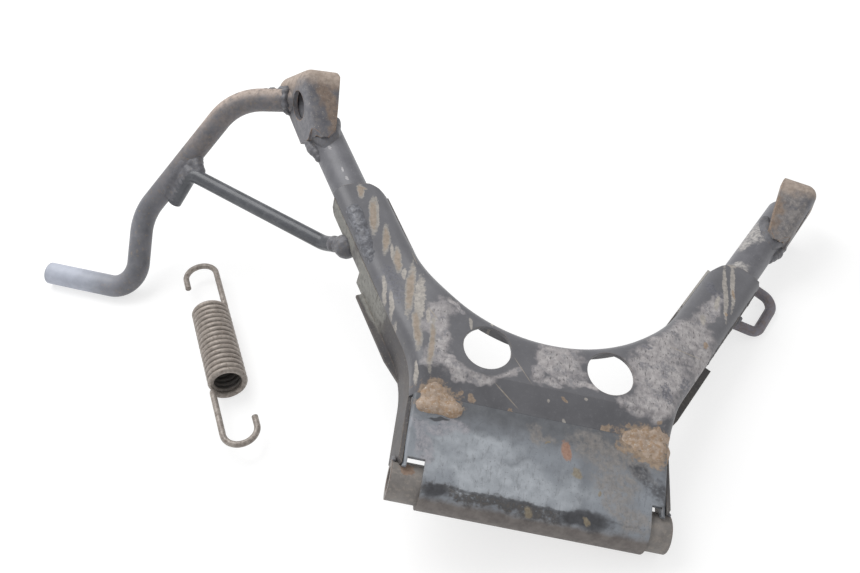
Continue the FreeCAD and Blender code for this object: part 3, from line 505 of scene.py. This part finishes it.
# %% Wall finish
wall = start_finish("dusty black enamel", "#4b4a4c", "#5b595b", 18.0, 0.55)
lay(wall, [blotches(wall, 14.0, 0.5, 0.18), 0.7], "#605c5a", "#6f6a66", 5.0, 0.72)
lay(wall, [blotches(wall, 1.3, 0.24, 0.06), 0.5], "#79766f", "#8c8a84", 2.0, 0.7)
SLEEVE_ENDS = [(-136, 170, -116, 134, 7.0), (-116, 132, -92, 92, 3.0), (84, 126, 106, 184, 3.6)]
lay(wall, [patches(wall, SLEEVE_ENDS, 1.2, 0.7, 0.6, 4.0), blotches(wall, 2.0, 0.8, 0.12), 0.9],
    "#85847f", "#9b9a94", 3.0, 0.65)
# Painted light: a pale line along the right sleeve's inner lip, made pale enough to stay light in the
# shade that falls there.
PALE_LIP_LINE = [(82, 133, 107, 184, 3.2)]
lay(wall, [patches(wall, PALE_LIP_LINE, 1.2, 0.8, 0.5, 4.0), 0.85], "#b4b1ab", "#cbc7c1", 2.5, 0.6)
lay(wall, [edges(wall, 0.8), blotches(wall, 5.0, 0.6, 0.10)], "#77695e", "#8c8178", 2.0, 0.78)
wall_paint = end_finish(wall, 0.0, 0.9, 0.04)

# %% Leg tube finish
tube = start_finish("satin black enamel on tube", "#626267", "#737378", 20.0, 0.40)
lay(tube, [blotches(tube, 9.0, 0.35, 0.14), 0.5], "#6e6e72", "#7e7e82", 3.0, 0.5)
SCOURED = [(131, 210, 146, 222, 7.5), (127, 201, 134, 212, 3.5), (117, 183, 129, 180, 3.4),
           (139, 231, 149, 224, 5.0)]
lay(tube, [patches(tube, SCOURED, 1.4, 0.3, 0.8, 3.0, 2.0), blotches(tube, 2.0, 0.68, 0.16), 0.85],
    "#a6a29f", "#c8c4c0", 2.0, 0.65)
NICKS = [(-147.4, 206.6, -145, 203, 0.9), (-132, 184, -130, 181, 0.9), (-136, 190, -134.4, 187, 0.6)]
lay(tube, [patches(tube, NICKS, 1.15, 0.8, 0.9, 1.2, 0.5)], "#a3a1a3", "#bab9bb", 1.8, 0.6)
lay(tube, [blotches(tube, 1.0, 0.12, 0.04), 0.7], "#8a8a8b", "#9c9c9c", 2.0, 0.6)
tube_paint = end_finish(tube, 0.0, 1.0, 0.03)

# %% Pivot tube finish
RUSTY_END = [(-72, 6, -63, 2, 3.6)]
pivot = start_finish("brown grey dust on steel tube", "#74706d", "#8a8581", 8.0, 0.6)
lay(pivot, [blotches(pivot, 3.0, 0.4, 0.10), 0.7], "#877f79", "#98918a", 1.5, 0.66)
lay(pivot, [patches(pivot, RUSTY_END, 1.1, 0.8, 0.8, 2.0, 1.0), 0.8], "#8a715f", "#9d8472", 1.5, 0.8)
lay(pivot, [edges(pivot, 0.8), blotches(pivot, 5.0, 0.6, 0.10)], "#6e4f40", "#8a6a58", 1.5, 0.8)
pivot_paint = end_finish(pivot, 0.0, 0.8, 0.04)

# %% [markdown]
# ## Lever, brace and eye
# The bars are bent rod under the same enamel. Rust creeps along the lever's upper side where
# water sat, a painted glare turns the pedal end pale blue grey, and the brace, which nothing
# touches, stays black and glossier. The wear and the glare run along the bars, so bands along the
# stand's axes make them, and no streaks are needed.

# %% Lever finish
lever = start_finish("weathered enamel on pedal bar", "#616267", "#74747a", 14.0, 0.40)
lay(lever, [blotches(lever, 6.0, 0.42, 0.12), 0.6], "#6c6b6e", "#7b7a7d", 2.5, 0.5)
upper_run = band(lever, (0, 1, 0), 196.0, 226.0, 7.0, 14.0)
lay(lever, [upper_run, blotches(lever, 5.0, 0.55, 0.20), 0.8], "#77706d", "#8b8380", 2.6, 0.65)
upper_bend = band(lever, (0, 1, 0), 218.0, 236.0, 7.0, 14.0)
lay(lever, [upper_bend, facing(lever, (-0.35, 0.55, 0.75), 0.2, 0.8), blotches(lever, 3.0, 0.8, 0.14)],
    "#9d8e84", "#b9aba2", 3.0, 0.8, 0.02)
lay(lever, [blotches(lever, 2.2, 0.22, 0.05), 0.6], "#837465", "#928577", 1.5, 0.78)
# Painted glare: the pedal end fades to a pale blue grey towards its free end.
pedal_glare = band(lever, (-1, 0, 0), 258.0, 312.0, 20.0, 8.0)
lay(lever, [pedal_glare, 0.95], "#acb1be", "#bfc4d1", 14.0, 0.5)
lay(lever, [edges(lever, 0.8), blotches(lever, 5.0, 0.6, 0.10)], "#8a8680", "#a09c96", 2.0, 0.7)
lever_paint = end_finish(lever, 0.0, 0.9, 0.04)

# %% Brace and eye finishes
brace = start_finish("satin black enamel on brace bar", "#4a4c50", "#585a5f", 16.0, 0.32)
lay(brace, [blotches(brace, 5.0, 0.3, 0.12), 0.5], "#5f6064", "#6e6f73", 2.5, 0.45)
lay(brace, [edges(brace, 0.6), blotches(brace, 5.0, 0.6, 0.10)], "#77706a", "#8a837c", 2.0, 0.7)
brace_paint = end_finish(brace, 0.0, 0.9, 0.025)

eye = start_finish("rusted steel rod", "#716e75", "#86828a", 6.0, 0.5)
lay(eye, [blotches(eye, 3.0, 0.4, 0.1), 0.55], "#6e625c", "#83756b", 1.6, 0.8, 0.02)
eye_paint = end_finish(eye, 0.0, 0.8, 0.05)

# %% [markdown]
# ## Foot shoes
# The shoes are the part that stands on the ground. Scraping took the paint off their soles and
# folds, which rusted to an even tan brown, and left a grey veil on the right one's front face. The
# rust is a band along the leg's own direction, so one mask serves both shoes, and streaks are only
# for what one shoe has and the other has not.

# %% Shoe finish
shoe = start_finish("scuffed and rusted pressed steel", "#58585e", "#6a6a70", 9.0, 0.48)
lay(shoe, [blotches(shoe, 3.5, 0.45, 0.12), 0.55], "#74706f", "#86807c", 1.8, 0.6)
OUTER_SIDES = [(-0.86, -0.5, 0.1), (0.86, -0.5, 0.1)]
for direction in OUTER_SIDES:
    lay(shoe, [facing(shoe, direction, 0.6, 0.95), 0.7], "#74747a", "#8b8b8f", 3.5, 0.6)
VEILED_FACE = [(148, 242, 156, 206, 16.0)]
lay(shoe, [patches(shoe, VEILED_FACE, 1.2, 0.8, 0.5, 4.0, 2.0), blotches(shoe, 3.0, 0.62, 0.16), 0.85],
    "#7d7876", "#989390", 2.6, 0.6)
BROWN_SIDES = [(-163, 246, -141, 210, 6.5), (-160, 249, -144, 240, 6.0), (147, 236, 146, 214, 3.4),
               (150, 238, 148, 222, 2.6)]
lay(shoe, [patches(shoe, BROWN_SIDES, 1.3, 0.6, 0.6, 4.0, 2.0), blotches(shoe, 2.0, 0.85, 0.15), 0.9],
    "#7a6a5e", "#918072", 2.4, 0.8)
sole = band(shoe, (0, 0.94, 0.34), 233.0, 241.0, 5.0, 6.0)
lay(shoe, [sole, 0.92], "#9a8c81", "#b8a99d", 3.2, 0.85, 0.03)
lay(shoe, [edges(shoe, 0.9), blotches(shoe, 5.0, 0.6, 0.10)], "#94765c", "#b0947a", 1.8, 0.8)
lay(shoe, [blotches(shoe, 0.9, 0.16, 0.04), 0.6], "#b0aaa4", "#c0bab4", 1.5, 0.7)
shoe_steel = end_finish(shoe, 0.0, 0.9, 0.07)

# %% [markdown]
# ## Weld metal
# Stick-welded beads are rows of frozen ripples, lumpier than any fillet. Painted ones stay black;
# where the paint let go they turn scaly grey or rust tan, with paler slag in the hollows. The
# lumps are real shape, made further down, so these finishes only add colour and fine scale.

# %% Painted bead finish
black_bead = start_finish("painted weld bead", "#5b5b60", "#717176", 5.0, 0.45)
lay(black_bead, [blotches(black_bead, 2.0, 0.30, 0.08), 0.6], "#6b6661", "#7d766f", 1.2, 0.7)
black_weld = end_finish(black_bead, 0.0, 0.8, 0.08, 0.3)

# %% Bare and rusty bead finishes
grey_bead = start_finish("scaly bare weld bead", "#57585d", "#6b6c72", 3.0, 0.42)
lay(grey_bead, [blotches(grey_bead, 2.4, 0.40, 0.10), 0.6], "#7d7f86", "#92949b", 1.2, 0.4)
grey_weld = end_finish(grey_bead, 0.0, 0.8, 0.08, 0.3)

rusty_bead = start_finish("rusted weld bead", "#a08d7d", "#bdab9b", 5.0, 0.75)
lay(rusty_bead, [blotches(rusty_bead, 3.0, 0.42, 0.08), 0.7], "#94775b", "#ad9072", 1.4, 0.85, 0.02)
lay(rusty_bead, [blotches(rusty_bead, 1.4, 0.22, 0.05), 0.8], "#bcb3a8", "#cfc8be", 1.0, 0.55, 0.02)
lay(rusty_bead, [blotches(rusty_bead, 1.2, 0.12, 0.05), 0.7], "#685c52", "#796c61", 1.0, 0.8)
rusty_weld = end_finish(rusty_bead, 0.0, 0.8, 0.06, 0.3)

# %% [markdown]
# ## Spring steel
# Hard-drawn wire, tarnished brown grey, a little metallic still. The outside of the coil is painted
# lighter, and its inside darker as painted shade. Noise alone would not know the outside from the
# inside, so this finish has axes of its own along the coil: the record gives the spring's direction,
# and the CAD box its middle.

# %% Spring axes
WIRE_RADIUS = 1.95
COIL_RADIUS = 10.3
COIL_PITCH = 4.0
COIL_TURNS = 16.5
HOOK_TURN = 0.06
STEPS_PER_TURN = 30

joints = {joint["name"]: joint for joint in frame["record"]["behaviour"]["joints"]}
along_spring = Vector(joints["spring_stretch"]["axis"]).normalized()
across_spring = Vector((0, 0, 1)).cross(along_spring)
coil_low, coil_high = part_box("spring_coil")
COIL_MIDDLE = (coil_low + coil_high) / 2
SPRING = (Matrix.Translation(COIL_MIDDLE)
          @ Matrix((across_spring, Vector((0, 0, 1)), along_spring)).transposed().to_4x4()
          @ Matrix.Scale(MM, 4))
print("coil's middle", [round(v, 4) for v in COIL_MIDDLE])
print("spring runs along", [round(v, 3) for v in along_spring])

# %% Spring finish
INSIDE_COIL = (10.4, 9.2)
OUTSIDE_COIL = (11.3, 12.2)
coil_turns = COIL_TURNS - 2 * HOOK_TURN
half_coil = COIL_PITCH * coil_turns / 2
wire = start_finish("tarnished spring wire", "#7f7771", "#978f88", 7.0, 0.45, COIL_MIDDLE,
                    SPRING.to_euler())
lay(wire, [blotches(wire, 3.0, 0.42, 0.12), 0.7], "#a39a92", "#b5ada5", 1.5, 0.42)
along_coil = level_along(wire, (0, 0, 1))
on_coil = [fade(wire, along_coil, half_coil - 2, half_coil - 5),
           fade(wire, along_coil, 2 - half_coil, 5 - half_coil)]
from_axis = from_centre(wire, (0, 0))
lay(wire, [fade(wire, from_axis, *OUTSIDE_COIL), 0.5], "#a0968d", "#b3a89e", 3.0, 0.4)
# Painted shade: the inside of the coil, towards its axis, is darker.
lay(wire, [fade(wire, from_axis, *INSIDE_COIL), *on_coil, 0.9], "#4f4d4b", "#605e5c", 4.0, 0.6)
lay(wire, [blotches(wire, 1.4, 0.26, 0.06), 0.6], "#6b5d54", "#7d6e63", 1.2, 0.75, 0.02)
spring_steel = end_finish(wire, 0.2, 0.7, 0.05, 0.2)

# %% [markdown]
# ## Finishes on the CAD nodes
# The pressed sheets, tubes and bars are right as they are and only get their finish. It could be
# set piece by piece, but one table shows at a glance which pieces share one, and the new pieces
# further down read theirs from it too.

# %% Assign the finishes
FINISHES = {
    "front_shell": shell_paint, "apron_plate": apron_paint, "pivot_tube": pivot_paint,
    "foot_lever": lever_paint, "lever_brace": brace_paint, "spring_eye": eye_paint,
    "left_rear_shell": wall_paint, "right_rear_shell": wall_paint,
    "left_leg_tube": tube_paint, "right_leg_tube": tube_paint,
    "left_foot_shoe": shoe_steel, "right_foot_shoe": shoe_steel,
    "left_crease_weld": rusty_weld, "right_crease_weld": rusty_weld, "lever_weld": black_weld,
    "brace_lever_weld": black_weld, "brace_leg_weld": black_weld, "spring_eye_welds": black_weld,
    "left_seam_weld": grey_weld, "right_seam_weld": wall_paint,
    "left_foot_weld": black_weld, "right_foot_weld": black_weld,
    "left_pivot_weld": black_weld, "right_pivot_weld": black_weld,
    "spring_coil": spring_steel, "spring_fixed_hook": spring_steel, "spring_moving_hook": spring_steel,
}
for name, material in FINISHES.items():
    for slot in nodes[name].material_slots:
        slot.material = material
print("finished", len(FINISHES), "of", len(nodes), "nodes")

# %% [markdown]
# ## Turning a shape into a piece
# Every new piece ends the same way, so one function does it: its normals point outwards, it shades
# smooth, it takes the finish of the CAD node that it stands for, and it rides on the same
# body. The coil is the exception: it joins two bodies, so it rides on neither.

# %% Make a piece


def make_piece(shape, node, body=None):
    """Turn a bmesh in the scene's metres into the piece that stands for a CAD node."""
    bmesh.ops.recalc_face_normals(shape, faces=shape.faces)
    for face in shape.faces:
        face.smooth = True
    mesh = bpy.data.meshes.new(node + "_piece")
    shape.to_mesh(mesh)
    shape.free()
    mesh.materials.append(FINISHES[node])
    piece = bpy.data.objects.new(node + "_piece", mesh)
    scene.collection.objects.link(piece)
    if body:
        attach(piece, body)
    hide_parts(node)
    print(piece.name, "-", len(mesh.polygons), "faces")
    return piece


# %% [markdown]
# ## Spring coil
# A close-wound coil of round wire. A curve could follow a helix, but the spin operator makes it in
# one step: the wire's round section turns about the coil's axis and climbs a little at every step.
# The coil lies between its two hooks, which ride on two bodies.

# %% Coil
WIRE_SEGMENTS = 14
shape = bmesh.new()
section = (Matrix.Rotation(-2 * math.pi * HOOK_TURN, 4, "Z")
           @ Matrix.Translation((COIL_RADIUS, 0, -half_coil)))
bmesh.ops.create_circle(shape, cap_ends=True, segments=WIRE_SEGMENTS, radius=WIRE_RADIUS,
                        matrix=section @ Matrix.Rotation(math.pi / 2, 4, "X"))
steps = round(coil_turns * STEPS_PER_TURN)
bmesh.ops.spin(shape, geom=shape.verts[:] + shape.edges[:] + shape.faces[:], cent=(0, 0, 0),
               axis=(0, 0, 1), dvec=(0, 0, COIL_PITCH * coil_turns / steps),
               angle=-2 * math.pi * coil_turns, steps=steps)
bmesh.ops.transform(shape, matrix=SPRING, verts=shape.verts)
coil = make_piece(shape, "spring_coil")
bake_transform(coil)
print("coil of", round(coil_turns, 2), "turns,", round(2 * half_coil, 1), "mm long at rest")

# %% [markdown]
# ## Spring hooks
# At each end the wire leaves the coil, runs straight beside its axis and turns back in a half
# circle. Extruding a ring of vertices bend by bend would take many steps; a Bezier curve with a
# round bevel is quicker: one point for each change of direction, with a handle before and after it
# along the wire. Ends and tips are measured in millimetres from the far face of the coil.

# %% Hook shape
ROUND_HANDLE = 0.5523
HOOK_LEAD = 5.0
LEAVING_HANDLE = 2.2
LEAD_HANDLE = 2.4
FAR_END, FAR_TIP = -44.8, -24.2
NEAR_END, NEAR_TIP = 116.4, 97.6


def bend_hook(node, body, turn, bend_middle, tip):
    """Hook from the coil's end at a given turn; bend_middle and tip are distances from its middle."""
    angle = 2 * math.pi * turn
    away = -1 if bend_middle < 0 else 1
    side = COIL_RADIUS if math.cos(angle) > 0 else -COIL_RADIUS
    start = Vector((COIL_RADIUS * math.cos(angle), -COIL_RADIUS * math.sin(angle), away * half_coil))
    tangent = Vector((-math.sin(angle), -math.cos(angle),
                      COIL_PITCH / (2 * math.pi * COIL_RADIUS))).normalized() * away
    outwards = Vector((0, 0, away))
    inwards = Vector((0, 0, -away))
    across = Vector((-side, 0, 0)).normalized()
    reach_round = COIL_RADIUS * ROUND_HANDLE
    corners = [
        (start, tangent, 0, LEAVING_HANDLE),
        (Vector((side, 0, away * (half_coil + HOOK_LEAD))), outwards, LEAD_HANDLE, 1),
        (Vector((side, 0, bend_middle)), outwards, 1, reach_round),
        (Vector((0, 0, bend_middle + away * COIL_RADIUS)), across, reach_round, reach_round),
        (Vector((-side, 0, bend_middle)), inwards, reach_round, 1),
        (Vector((-side, 0, tip)), inwards, 1, 0),
    ]
    curve = bpy.data.curves.new(node, "CURVE")
    curve.dimensions = "3D"
    curve.bevel_depth = WIRE_RADIUS
    curve.bevel_resolution = 5
    curve.use_fill_caps = True
    spline = curve.splines.new("BEZIER")
    spline.bezier_points.add(len(corners) - 1)
    for point, (place, direction, before, after) in zip(spline.bezier_points, corners):
        point.handle_left_type = point.handle_right_type = "FREE"
        point.co = place
        point.handle_left = place - direction * before
        point.handle_right = place + direction * after
    holder = bpy.data.objects.new(node, curve)
    mesh = bpy.data.meshes.new_from_object(holder)
    shape = bmesh.new()
    shape.from_mesh(mesh)
    bmesh.ops.remove_doubles(shape, verts=shape.verts, dist=0.001)
    bmesh.ops.transform(shape, matrix=SPRING, verts=shape.verts)
    return make_piece(shape, node, body)


# %% Hooks
COIL_SHIFT = WIRE_RADIUS + COIL_PITCH * COIL_TURNS / 2
bend_hook("spring_fixed_hook", "spring", HOOK_TURN,
          FAR_END + WIRE_RADIUS + COIL_RADIUS - COIL_SHIFT, FAR_TIP - COIL_SHIFT)
bend_hook("spring_moving_hook", "spring_hook", COIL_TURNS - HOOK_TURN,
          NEAR_END - WIRE_RADIUS - COIL_RADIUS - COIL_SHIFT, NEAR_TIP - COIL_SHIFT)
print("spring over its hooks:", round(NEAR_END - FAR_END, 1), "mm")

# %% [markdown]
# ## Weld beads
# A stick weld is a row of drops that froze while the next one fell. A fillet with noise would look
# too even, so each bead is laid as its welder laid it: overlapping drops along the seam, melted
# into one skin by a voxel remesh, and roughened by a cloud displacement.

# %% Bead tools
SLAG = bpy.data.textures.new("slag", "CLOUDS")
SLAG.noise_scale = 2.4 * MM
SLAG.noise_depth = 3
DROP_SPACING = 0.38
DROP_JOG = 0.14
DROP_SIZES = (0.85, 1.12)
ABOVE_STAND = 80


def drops_along(path, seed):
    """Drops of a bead along a chain of (place, radius) pairs in the stand's axes."""
    chance = random.Random(seed)
    drops = []
    for (start, first), (end, last) in zip(path, path[1:]):
        start, end = Vector(start), Vector(end)
        count = max(1, round((end - start).length / (DROP_SPACING * (first + last))))
        for step in range(count + 1):
            share = step / count
            jog = Vector([chance.uniform(-DROP_JOG, DROP_JOG) * first for _ in range(3)])
            radius = (first + (last - first) * share) * chance.uniform(*DROP_SIZES)
            drops.append((start.lerp(end, share) + jog, radius))
    return drops


def melt(node, drops, rough, voxel=0.5):
    """One rough skin over overlapping drops, as the piece that stands for a weld node."""
    shape = bmesh.new()
    for place, radius in drops:
        bmesh.ops.create_icosphere(shape, subdivisions=2, radius=radius,
                                   matrix=Matrix.Translation(place))
    bmesh.ops.transform(shape, matrix=STAND, verts=shape.verts)
    mesh = bpy.data.meshes.new(node + "_drops")
    shape.to_mesh(mesh)
    shape.free()
    drops_object = bpy.data.objects.new(node + "_drops", mesh)
    scene.collection.objects.link(drops_object)
    skin = drops_object.modifiers.new("skin", "REMESH")
    skin.mode = "VOXEL"
    skin.voxel_size = voxel * MM
    flow = drops_object.modifiers.new("flow", "SMOOTH")
    flow.iterations = 10
    scale = drops_object.modifiers.new("scale", "DISPLACE")
    scale.texture = SLAG
    scale.texture_coords = "LOCAL"
    scale.strength = rough * MM
    depsgraph = bpy.context.evaluated_depsgraph_get()
    melted = bpy.data.meshes.new_from_object(drops_object.evaluated_get(depsgraph))
    bpy.data.objects.remove(drops_object)
    shape = bmesh.new()
    shape.from_mesh(melted)
    return make_piece(shape, node, "stand")


def drop_on(names, x, y, radius, rise):
    """Drop that stands a given rise above the first named node under a place in the stand's X and Y."""
    start = STAND @ Vector((x, y, ABOVE_STAND))
    down = (STAND @ Vector((x, y, 0)) - start).normalized()
    hits = [nodes[name].ray_cast(start, down) for name in names]
    _, place, normal, _ = next(hit for hit in hits if hit[0])
    return STAND.inverted() @ (place - normal * (radius - rise) * MM), radius


# %% [markdown]
# ## Welds of the crease
# Two heavy welds tie the apron to the shell at its corners. The left one is a fat bead under the
# crease with a lobe that runs up the skirt; the right one was ground down and only swells a little.
# The sheets are curved here, so each drop is dropped onto them from the front with a ray, and only
# its rise above the sheet is given. A bigger drop with the same rise makes a flatter swelling.

# %% Left crease weld
FRONT_SHEETS = ("front_shell", "apron_plate")
FAT_DROP = 5.4
BEAD_LEVEL = 37.0
BEAD_DROPS = (-64.4, -62.4, -60.4, -58.4, -56.2, -54, -51.8, -49.8, -47.8)
chance = random.Random(4)
left_bead = [drop_on(FRONT_SHEETS, x, BEAD_LEVEL + chance.uniform(-0.4, 0.4), FAT_DROP,
                     chance.uniform(2.4, 3.2)) for x in BEAD_DROPS]
LOBE = [(-63, 42.6, 2.0), (-60, 42.6, 2.5), (-57, 42.4, 2.4), (-54, 42.2, 1.9), (-51, 42, 1.2),
        (-61.5, 45.2, 1.6), (-58.6, 45.2, 1.7), (-56, 44.8, 1.2), (-60, 47, 0.8)]
left_lobe = [drop_on(FRONT_SHEETS, x, y, FAT_DROP, rise) for x, y, rise in LOBE]
melt("left_crease_weld", left_bead + left_lobe, 0.7, 0.6)

# %% Right crease weld
FLAT_DROP = 9.0
GROUND_DOWN = [(46, 43.6, 0.6), (51, 44, 0.9), (56, 44.4, 1.1), (61, 44.6, 1.1), (66, 44.6, 1.0),
               (56, 48.4, 0.4), (63, 48.8, 0.5), (46, 40.4, 0.7), (51, 40, 1.1), (56, 39.4, 1.3),
               (61, 39, 1.3), (65, 39, 1.2), (52, 35.4, 0.5), (58, 34.6, 0.7), (64, 34, 0.8)]
swelling = [drop_on(FRONT_SHEETS, x, y, FLAT_DROP, rise) for x, y, rise in GROUND_DOWN]
melt("right_crease_weld", swelling, 0.25, 0.6)

# %% [markdown]
# ## Welds along the sleeves and at the shoes
# The left sleeve's seam was welded on its corner, in short hot runs that sag to one side; the right
# one lies hidden on the far side and is an even bead. At each shoe a bead follows the pointed edge,
# and one long lump fills the corner beside the leg. The beads under a shoe's edge could be cut to
# fit its plate, but drops laid on the tube in rows reach under it and leave no gap.

# %% Seam welds
SEAM_DROPS = 27
chance = random.Random(11)
seam = []
for k in range(SEAM_DROPS):
    share = k / (SEAM_DROPS - 1)
    place = leg_place(14 - 40 * share, 8.4 + 3.4 * share, 0, -1)
    swell = math.sin(math.pi * (0.08 + 0.86 * share)) ** 0.5
    rise = (2.2 - 1.0 * share) * swell + chance.uniform(-0.35, 0.35)
    seam.append(drop_on(["front_shell"], place.x, place.y, 6.0 - 1.4 * share, rise))
melt("left_seam_weld", seam, 0.7)
right_seam = [(leg_place(27, 13.2, 7.0, 1), 1.5), (leg_place(-44, 13.2, 7.0, 1), 1.5)]
melt("right_seam_weld", drops_along(right_seam, 12), 0.3)

# %% Foot welds
SHOE_EDGE = [(83, 9.6), (77, 8.6), (72, 6.6), (72.4, 3.6), (74, 0.6), (76, -2.5), (81, -5.4),
             (87, -8.4)]
ROWS = ((-3.4, 3.4, 3.2), (-1.4, 3.2, 3.0), (0.6, 2.8, 2.2), (2.4, 3.0, 0.9))
ALONG_LEG = (0.5, 0.87)
for side, leg in ((-1, "left"), (1, "right")):
    drops = drops_along([(leg_place(84, 11.4, -1.0, side), 3.6), (leg_place(74, 10.8, 0.0, side), 4.2),
                         (leg_place(67, 10.0, 0.8, side), 3.4)], 20)
    for (along, outward), (next_along, next_outward) in zip(SHOE_EDGE, SHOE_EDGE[1:]):
        for share in (0.0, 0.35, 0.7):
            edge = leg_place(along + (next_along - along) * share,
                             outward + (next_outward - outward) * share, 0, side)
            for back, radius, rise in ROWS:
                x, y = edge.x - back * side * ALONG_LEG[0], edge.y - back * ALONG_LEG[1]
                drops.append(drop_on([leg + "_leg_tube"], x, y, radius, rise))
    melt(leg + "_foot_weld", drops, 0.3)

# %% [markdown]
# ## Welds of the bars
# Each bar end is welded all round. The lever's root has a ring of drops and a long tongue on its
# front side, the brace swells to a neck where it meets the sleeve, and a web of weld fills the
# corner between brace and lever. A boolean fillet would be even and round; rows of drops that
# run from one bar to the other fill the corner flush and stay a little rough.

# %% Bars
LEVER_POINTS = [Vector((-179.9, 245.7, 9.9)), Vector((-214.8, 245.0, 0.6)),
                Vector((-265.2, 196.3, -79.5))]
BRACE_POINTS = [Vector((-244.2, 200.5, -63.2)), Vector((-234.9, 209.2, -40.7)),
                Vector((-136.9, 157.2, -17.8)), Vector((-121.8, 146.2, -2.1))]
LEVER_RADIUS = 7.5
lever_run = (LEVER_POINTS[1] - LEVER_POINTS[0]).normalized()
lever_slope = (LEVER_POINTS[2] - LEVER_POINTS[1]).normalized()
brace_slope = (BRACE_POINTS[2] - BRACE_POINTS[1]).normalized()
leg_run = (BRACE_POINTS[3] - BRACE_POINTS[2]).normalized()
print("lever", 2 * LEVER_RADIUS, "mm thick, its slope along", [round(v, 2) for v in lever_slope])


def beside_lever(place):
    """Nearest place on the lever's middle, along its slope."""
    return LEVER_POINTS[1] + lever_slope * (place - LEVER_POINTS[1]).dot(lever_slope)


def drop_ring(centre, axis, ring_radius, drop_radius, seed):
    """Closed ring of drops round a bar."""
    turned = Vector((0, 0, 1)).rotation_difference(axis)
    count = 10
    places = [centre + turned @ Vector((ring_radius * math.cos(k * math.tau / count),
                                        ring_radius * math.sin(k * math.tau / count), 0))
              for k in range(count + 1)]
    return drops_along([(place, drop_radius) for place in places], seed)


# %% Lever weld
TONGUE = ((-1, 3.2), (6, 2.6), (12, 2.2), (19, 1.4))
root_ring = drop_ring(LEVER_POINTS[0] + lever_run * 1.0, lever_run, LEVER_RADIUS - 0.2, 2.4, 31)
over_root = drops_along([(LEVER_POINTS[0] + lever_run * reach_out + Vector((0, 4.4, 4.6)), size)
                         for reach_out, size in TONGUE], 32)
melt("lever_weld", root_ring + over_root, 1.0)

# %% Neck of the brace
NECK = ((4, 7.0), (1, 6.4), (-2.5, 5.7), (-7, 5.0))
neck_root = leg_place(5.4, 15.3, -10.5, -1)
neck = [(neck_root + leg_run * step, radius) for step, radius in NECK]
melt("brace_leg_weld", drops_along(neck, 41), 0.4)

# %% Web between lever and brace
corner_on_lever = beside_lever(BRACE_POINTS[1])
web = []
for spread in (2, 4, 6, 8, 10):
    web += drops_along([(corner_on_lever - lever_slope * spread * 1.1, 4.6),
                        (BRACE_POINTS[1] + brace_slope * spread, 3.6)], 50 + spread)
stub = BRACE_POINTS[0] - BRACE_POINTS[1]
for share in (0.0, 0.15, 0.3, 0.45, 0.6, 0.75, 0.88):
    on_brace = BRACE_POINTS[1] + stub * share
    on_lever = beside_lever(on_brace)
    outward = lever_slope.cross(on_brace - on_lever).normalized()
    web += drops_along([(on_lever + outward * 2.8, 4.5), (on_brace + outward * 0.2, 4.4)], 60)
melt("brace_lever_weld", web, 0.4)

# %% [markdown]
# ## Welds of the eye and the pivot tube
# The spring's eye sits on two short beads, and the tube's ends on thin ones round part of the
# tube. They are small and mostly hidden, so a few drops along a line or an arc are enough.

# %% Eye and pivot welds
EYE_DROP = 2.1
upper_bead = [(leg_place(41.5, 11.8, -5.6, 1), EYE_DROP), (leg_place(48.5, 11.8, -5.6, 1), EYE_DROP)]
lower_bead = [(leg_place(7, 15.2, -5.6, 1), EYE_DROP), (leg_place(13, 15.4, -5.6, 1), EYE_DROP)]
melt("spring_eye_welds", drops_along(upper_bead, 71) + drops_along(lower_bead, 72), 0.5)
TUBE_END = 73.6
AROUND_TUBE = 11.2
for side, node, seed in ((-1, "left_pivot_weld", 81), (1, "right_pivot_weld", 82)):
    angles = [math.radians(turn) for turn in (-32, -12, 8, 28, 48)]
    places = [Vector((side * TUBE_END, AROUND_TUBE * math.cos(angle), AROUND_TUBE * math.sin(angle)))
              for angle in angles]
    melt(node, drops_along([(place, 1.6) for place in places], seed), 0.4)

# %% [markdown]
# ## Floor
# A plain white table. It only catches the faint shadows, so it is a wide plane just under the
# object. More light could make it white, but that would bleach the steel too. So the camera sees
# it mostly as white by itself, with some of the real shading over it, and every other ray meets an
# ordinary matt white surface, which keeps the light on the object true.

# %% Floor
FLOOR_HALF = 3.0
FLOOR_GAP = 0.0002
floor_mesh = bpy.data.meshes.new("floor")
shape = bmesh.new()
bmesh.ops.create_grid(shape, x_segments=1, y_segments=1, size=FLOOR_HALF)
shape.to_mesh(floor_mesh)
shape.free()
floor = bpy.data.objects.new("floor", floor_mesh)
floor.location.z = -FLOOR_GAP
scene.collection.objects.link(floor)
print("floor", 2 * FLOOR_HALF, "m wide")

# %% Floor finish
SHADED_SHARE = 0.40
GLOWING_SHARE = 0.68
floor_material = bpy.data.materials.new("white table top")
floor_material.use_nodes = True
tree = floor_material.node_tree
tree.nodes.clear()
path_kind = add_node(tree, "ShaderNodeLightPath", {}, {})
seen = add_node(tree, "ShaderNodeMath", {"operation": "MAXIMUM"},
                {0: path_kind.outputs["Is Camera Ray"],
                 1: path_kind.outputs["Is Glossy Ray"]}).outputs[0]
seen = add_node(tree, "ShaderNodeMath", {"operation": "MAXIMUM"},
                {0: seen, 1: path_kind.outputs["Is Transmission Ray"]}).outputs[0]
table = add_node(tree, "ShaderNodeBsdfDiffuse", {}, {"Color": linear("#fafafb")})
shade = add_node(tree, "ShaderNodeBsdfDiffuse", {}, {"Color": (*[SHADED_SHARE] * 3, 1)})
glow = add_node(tree, "ShaderNodeEmission", {}, {"Color": (*WHITE, 1), "Strength": GLOWING_SHARE})
white_table = add_node(tree, "ShaderNodeAddShader", {}, {0: shade.outputs[0], 1: glow.outputs[0]})
both = add_node(tree, "ShaderNodeMixShader", {},
                {0: seen, 1: table.outputs[0], 2: white_table.outputs[0]})
add_node(tree, "ShaderNodeOutputMaterial", {}, {"Surface": both.outputs[0]})
floor_mesh.materials.append(floor_material)
print("floor finish", floor_material.name)
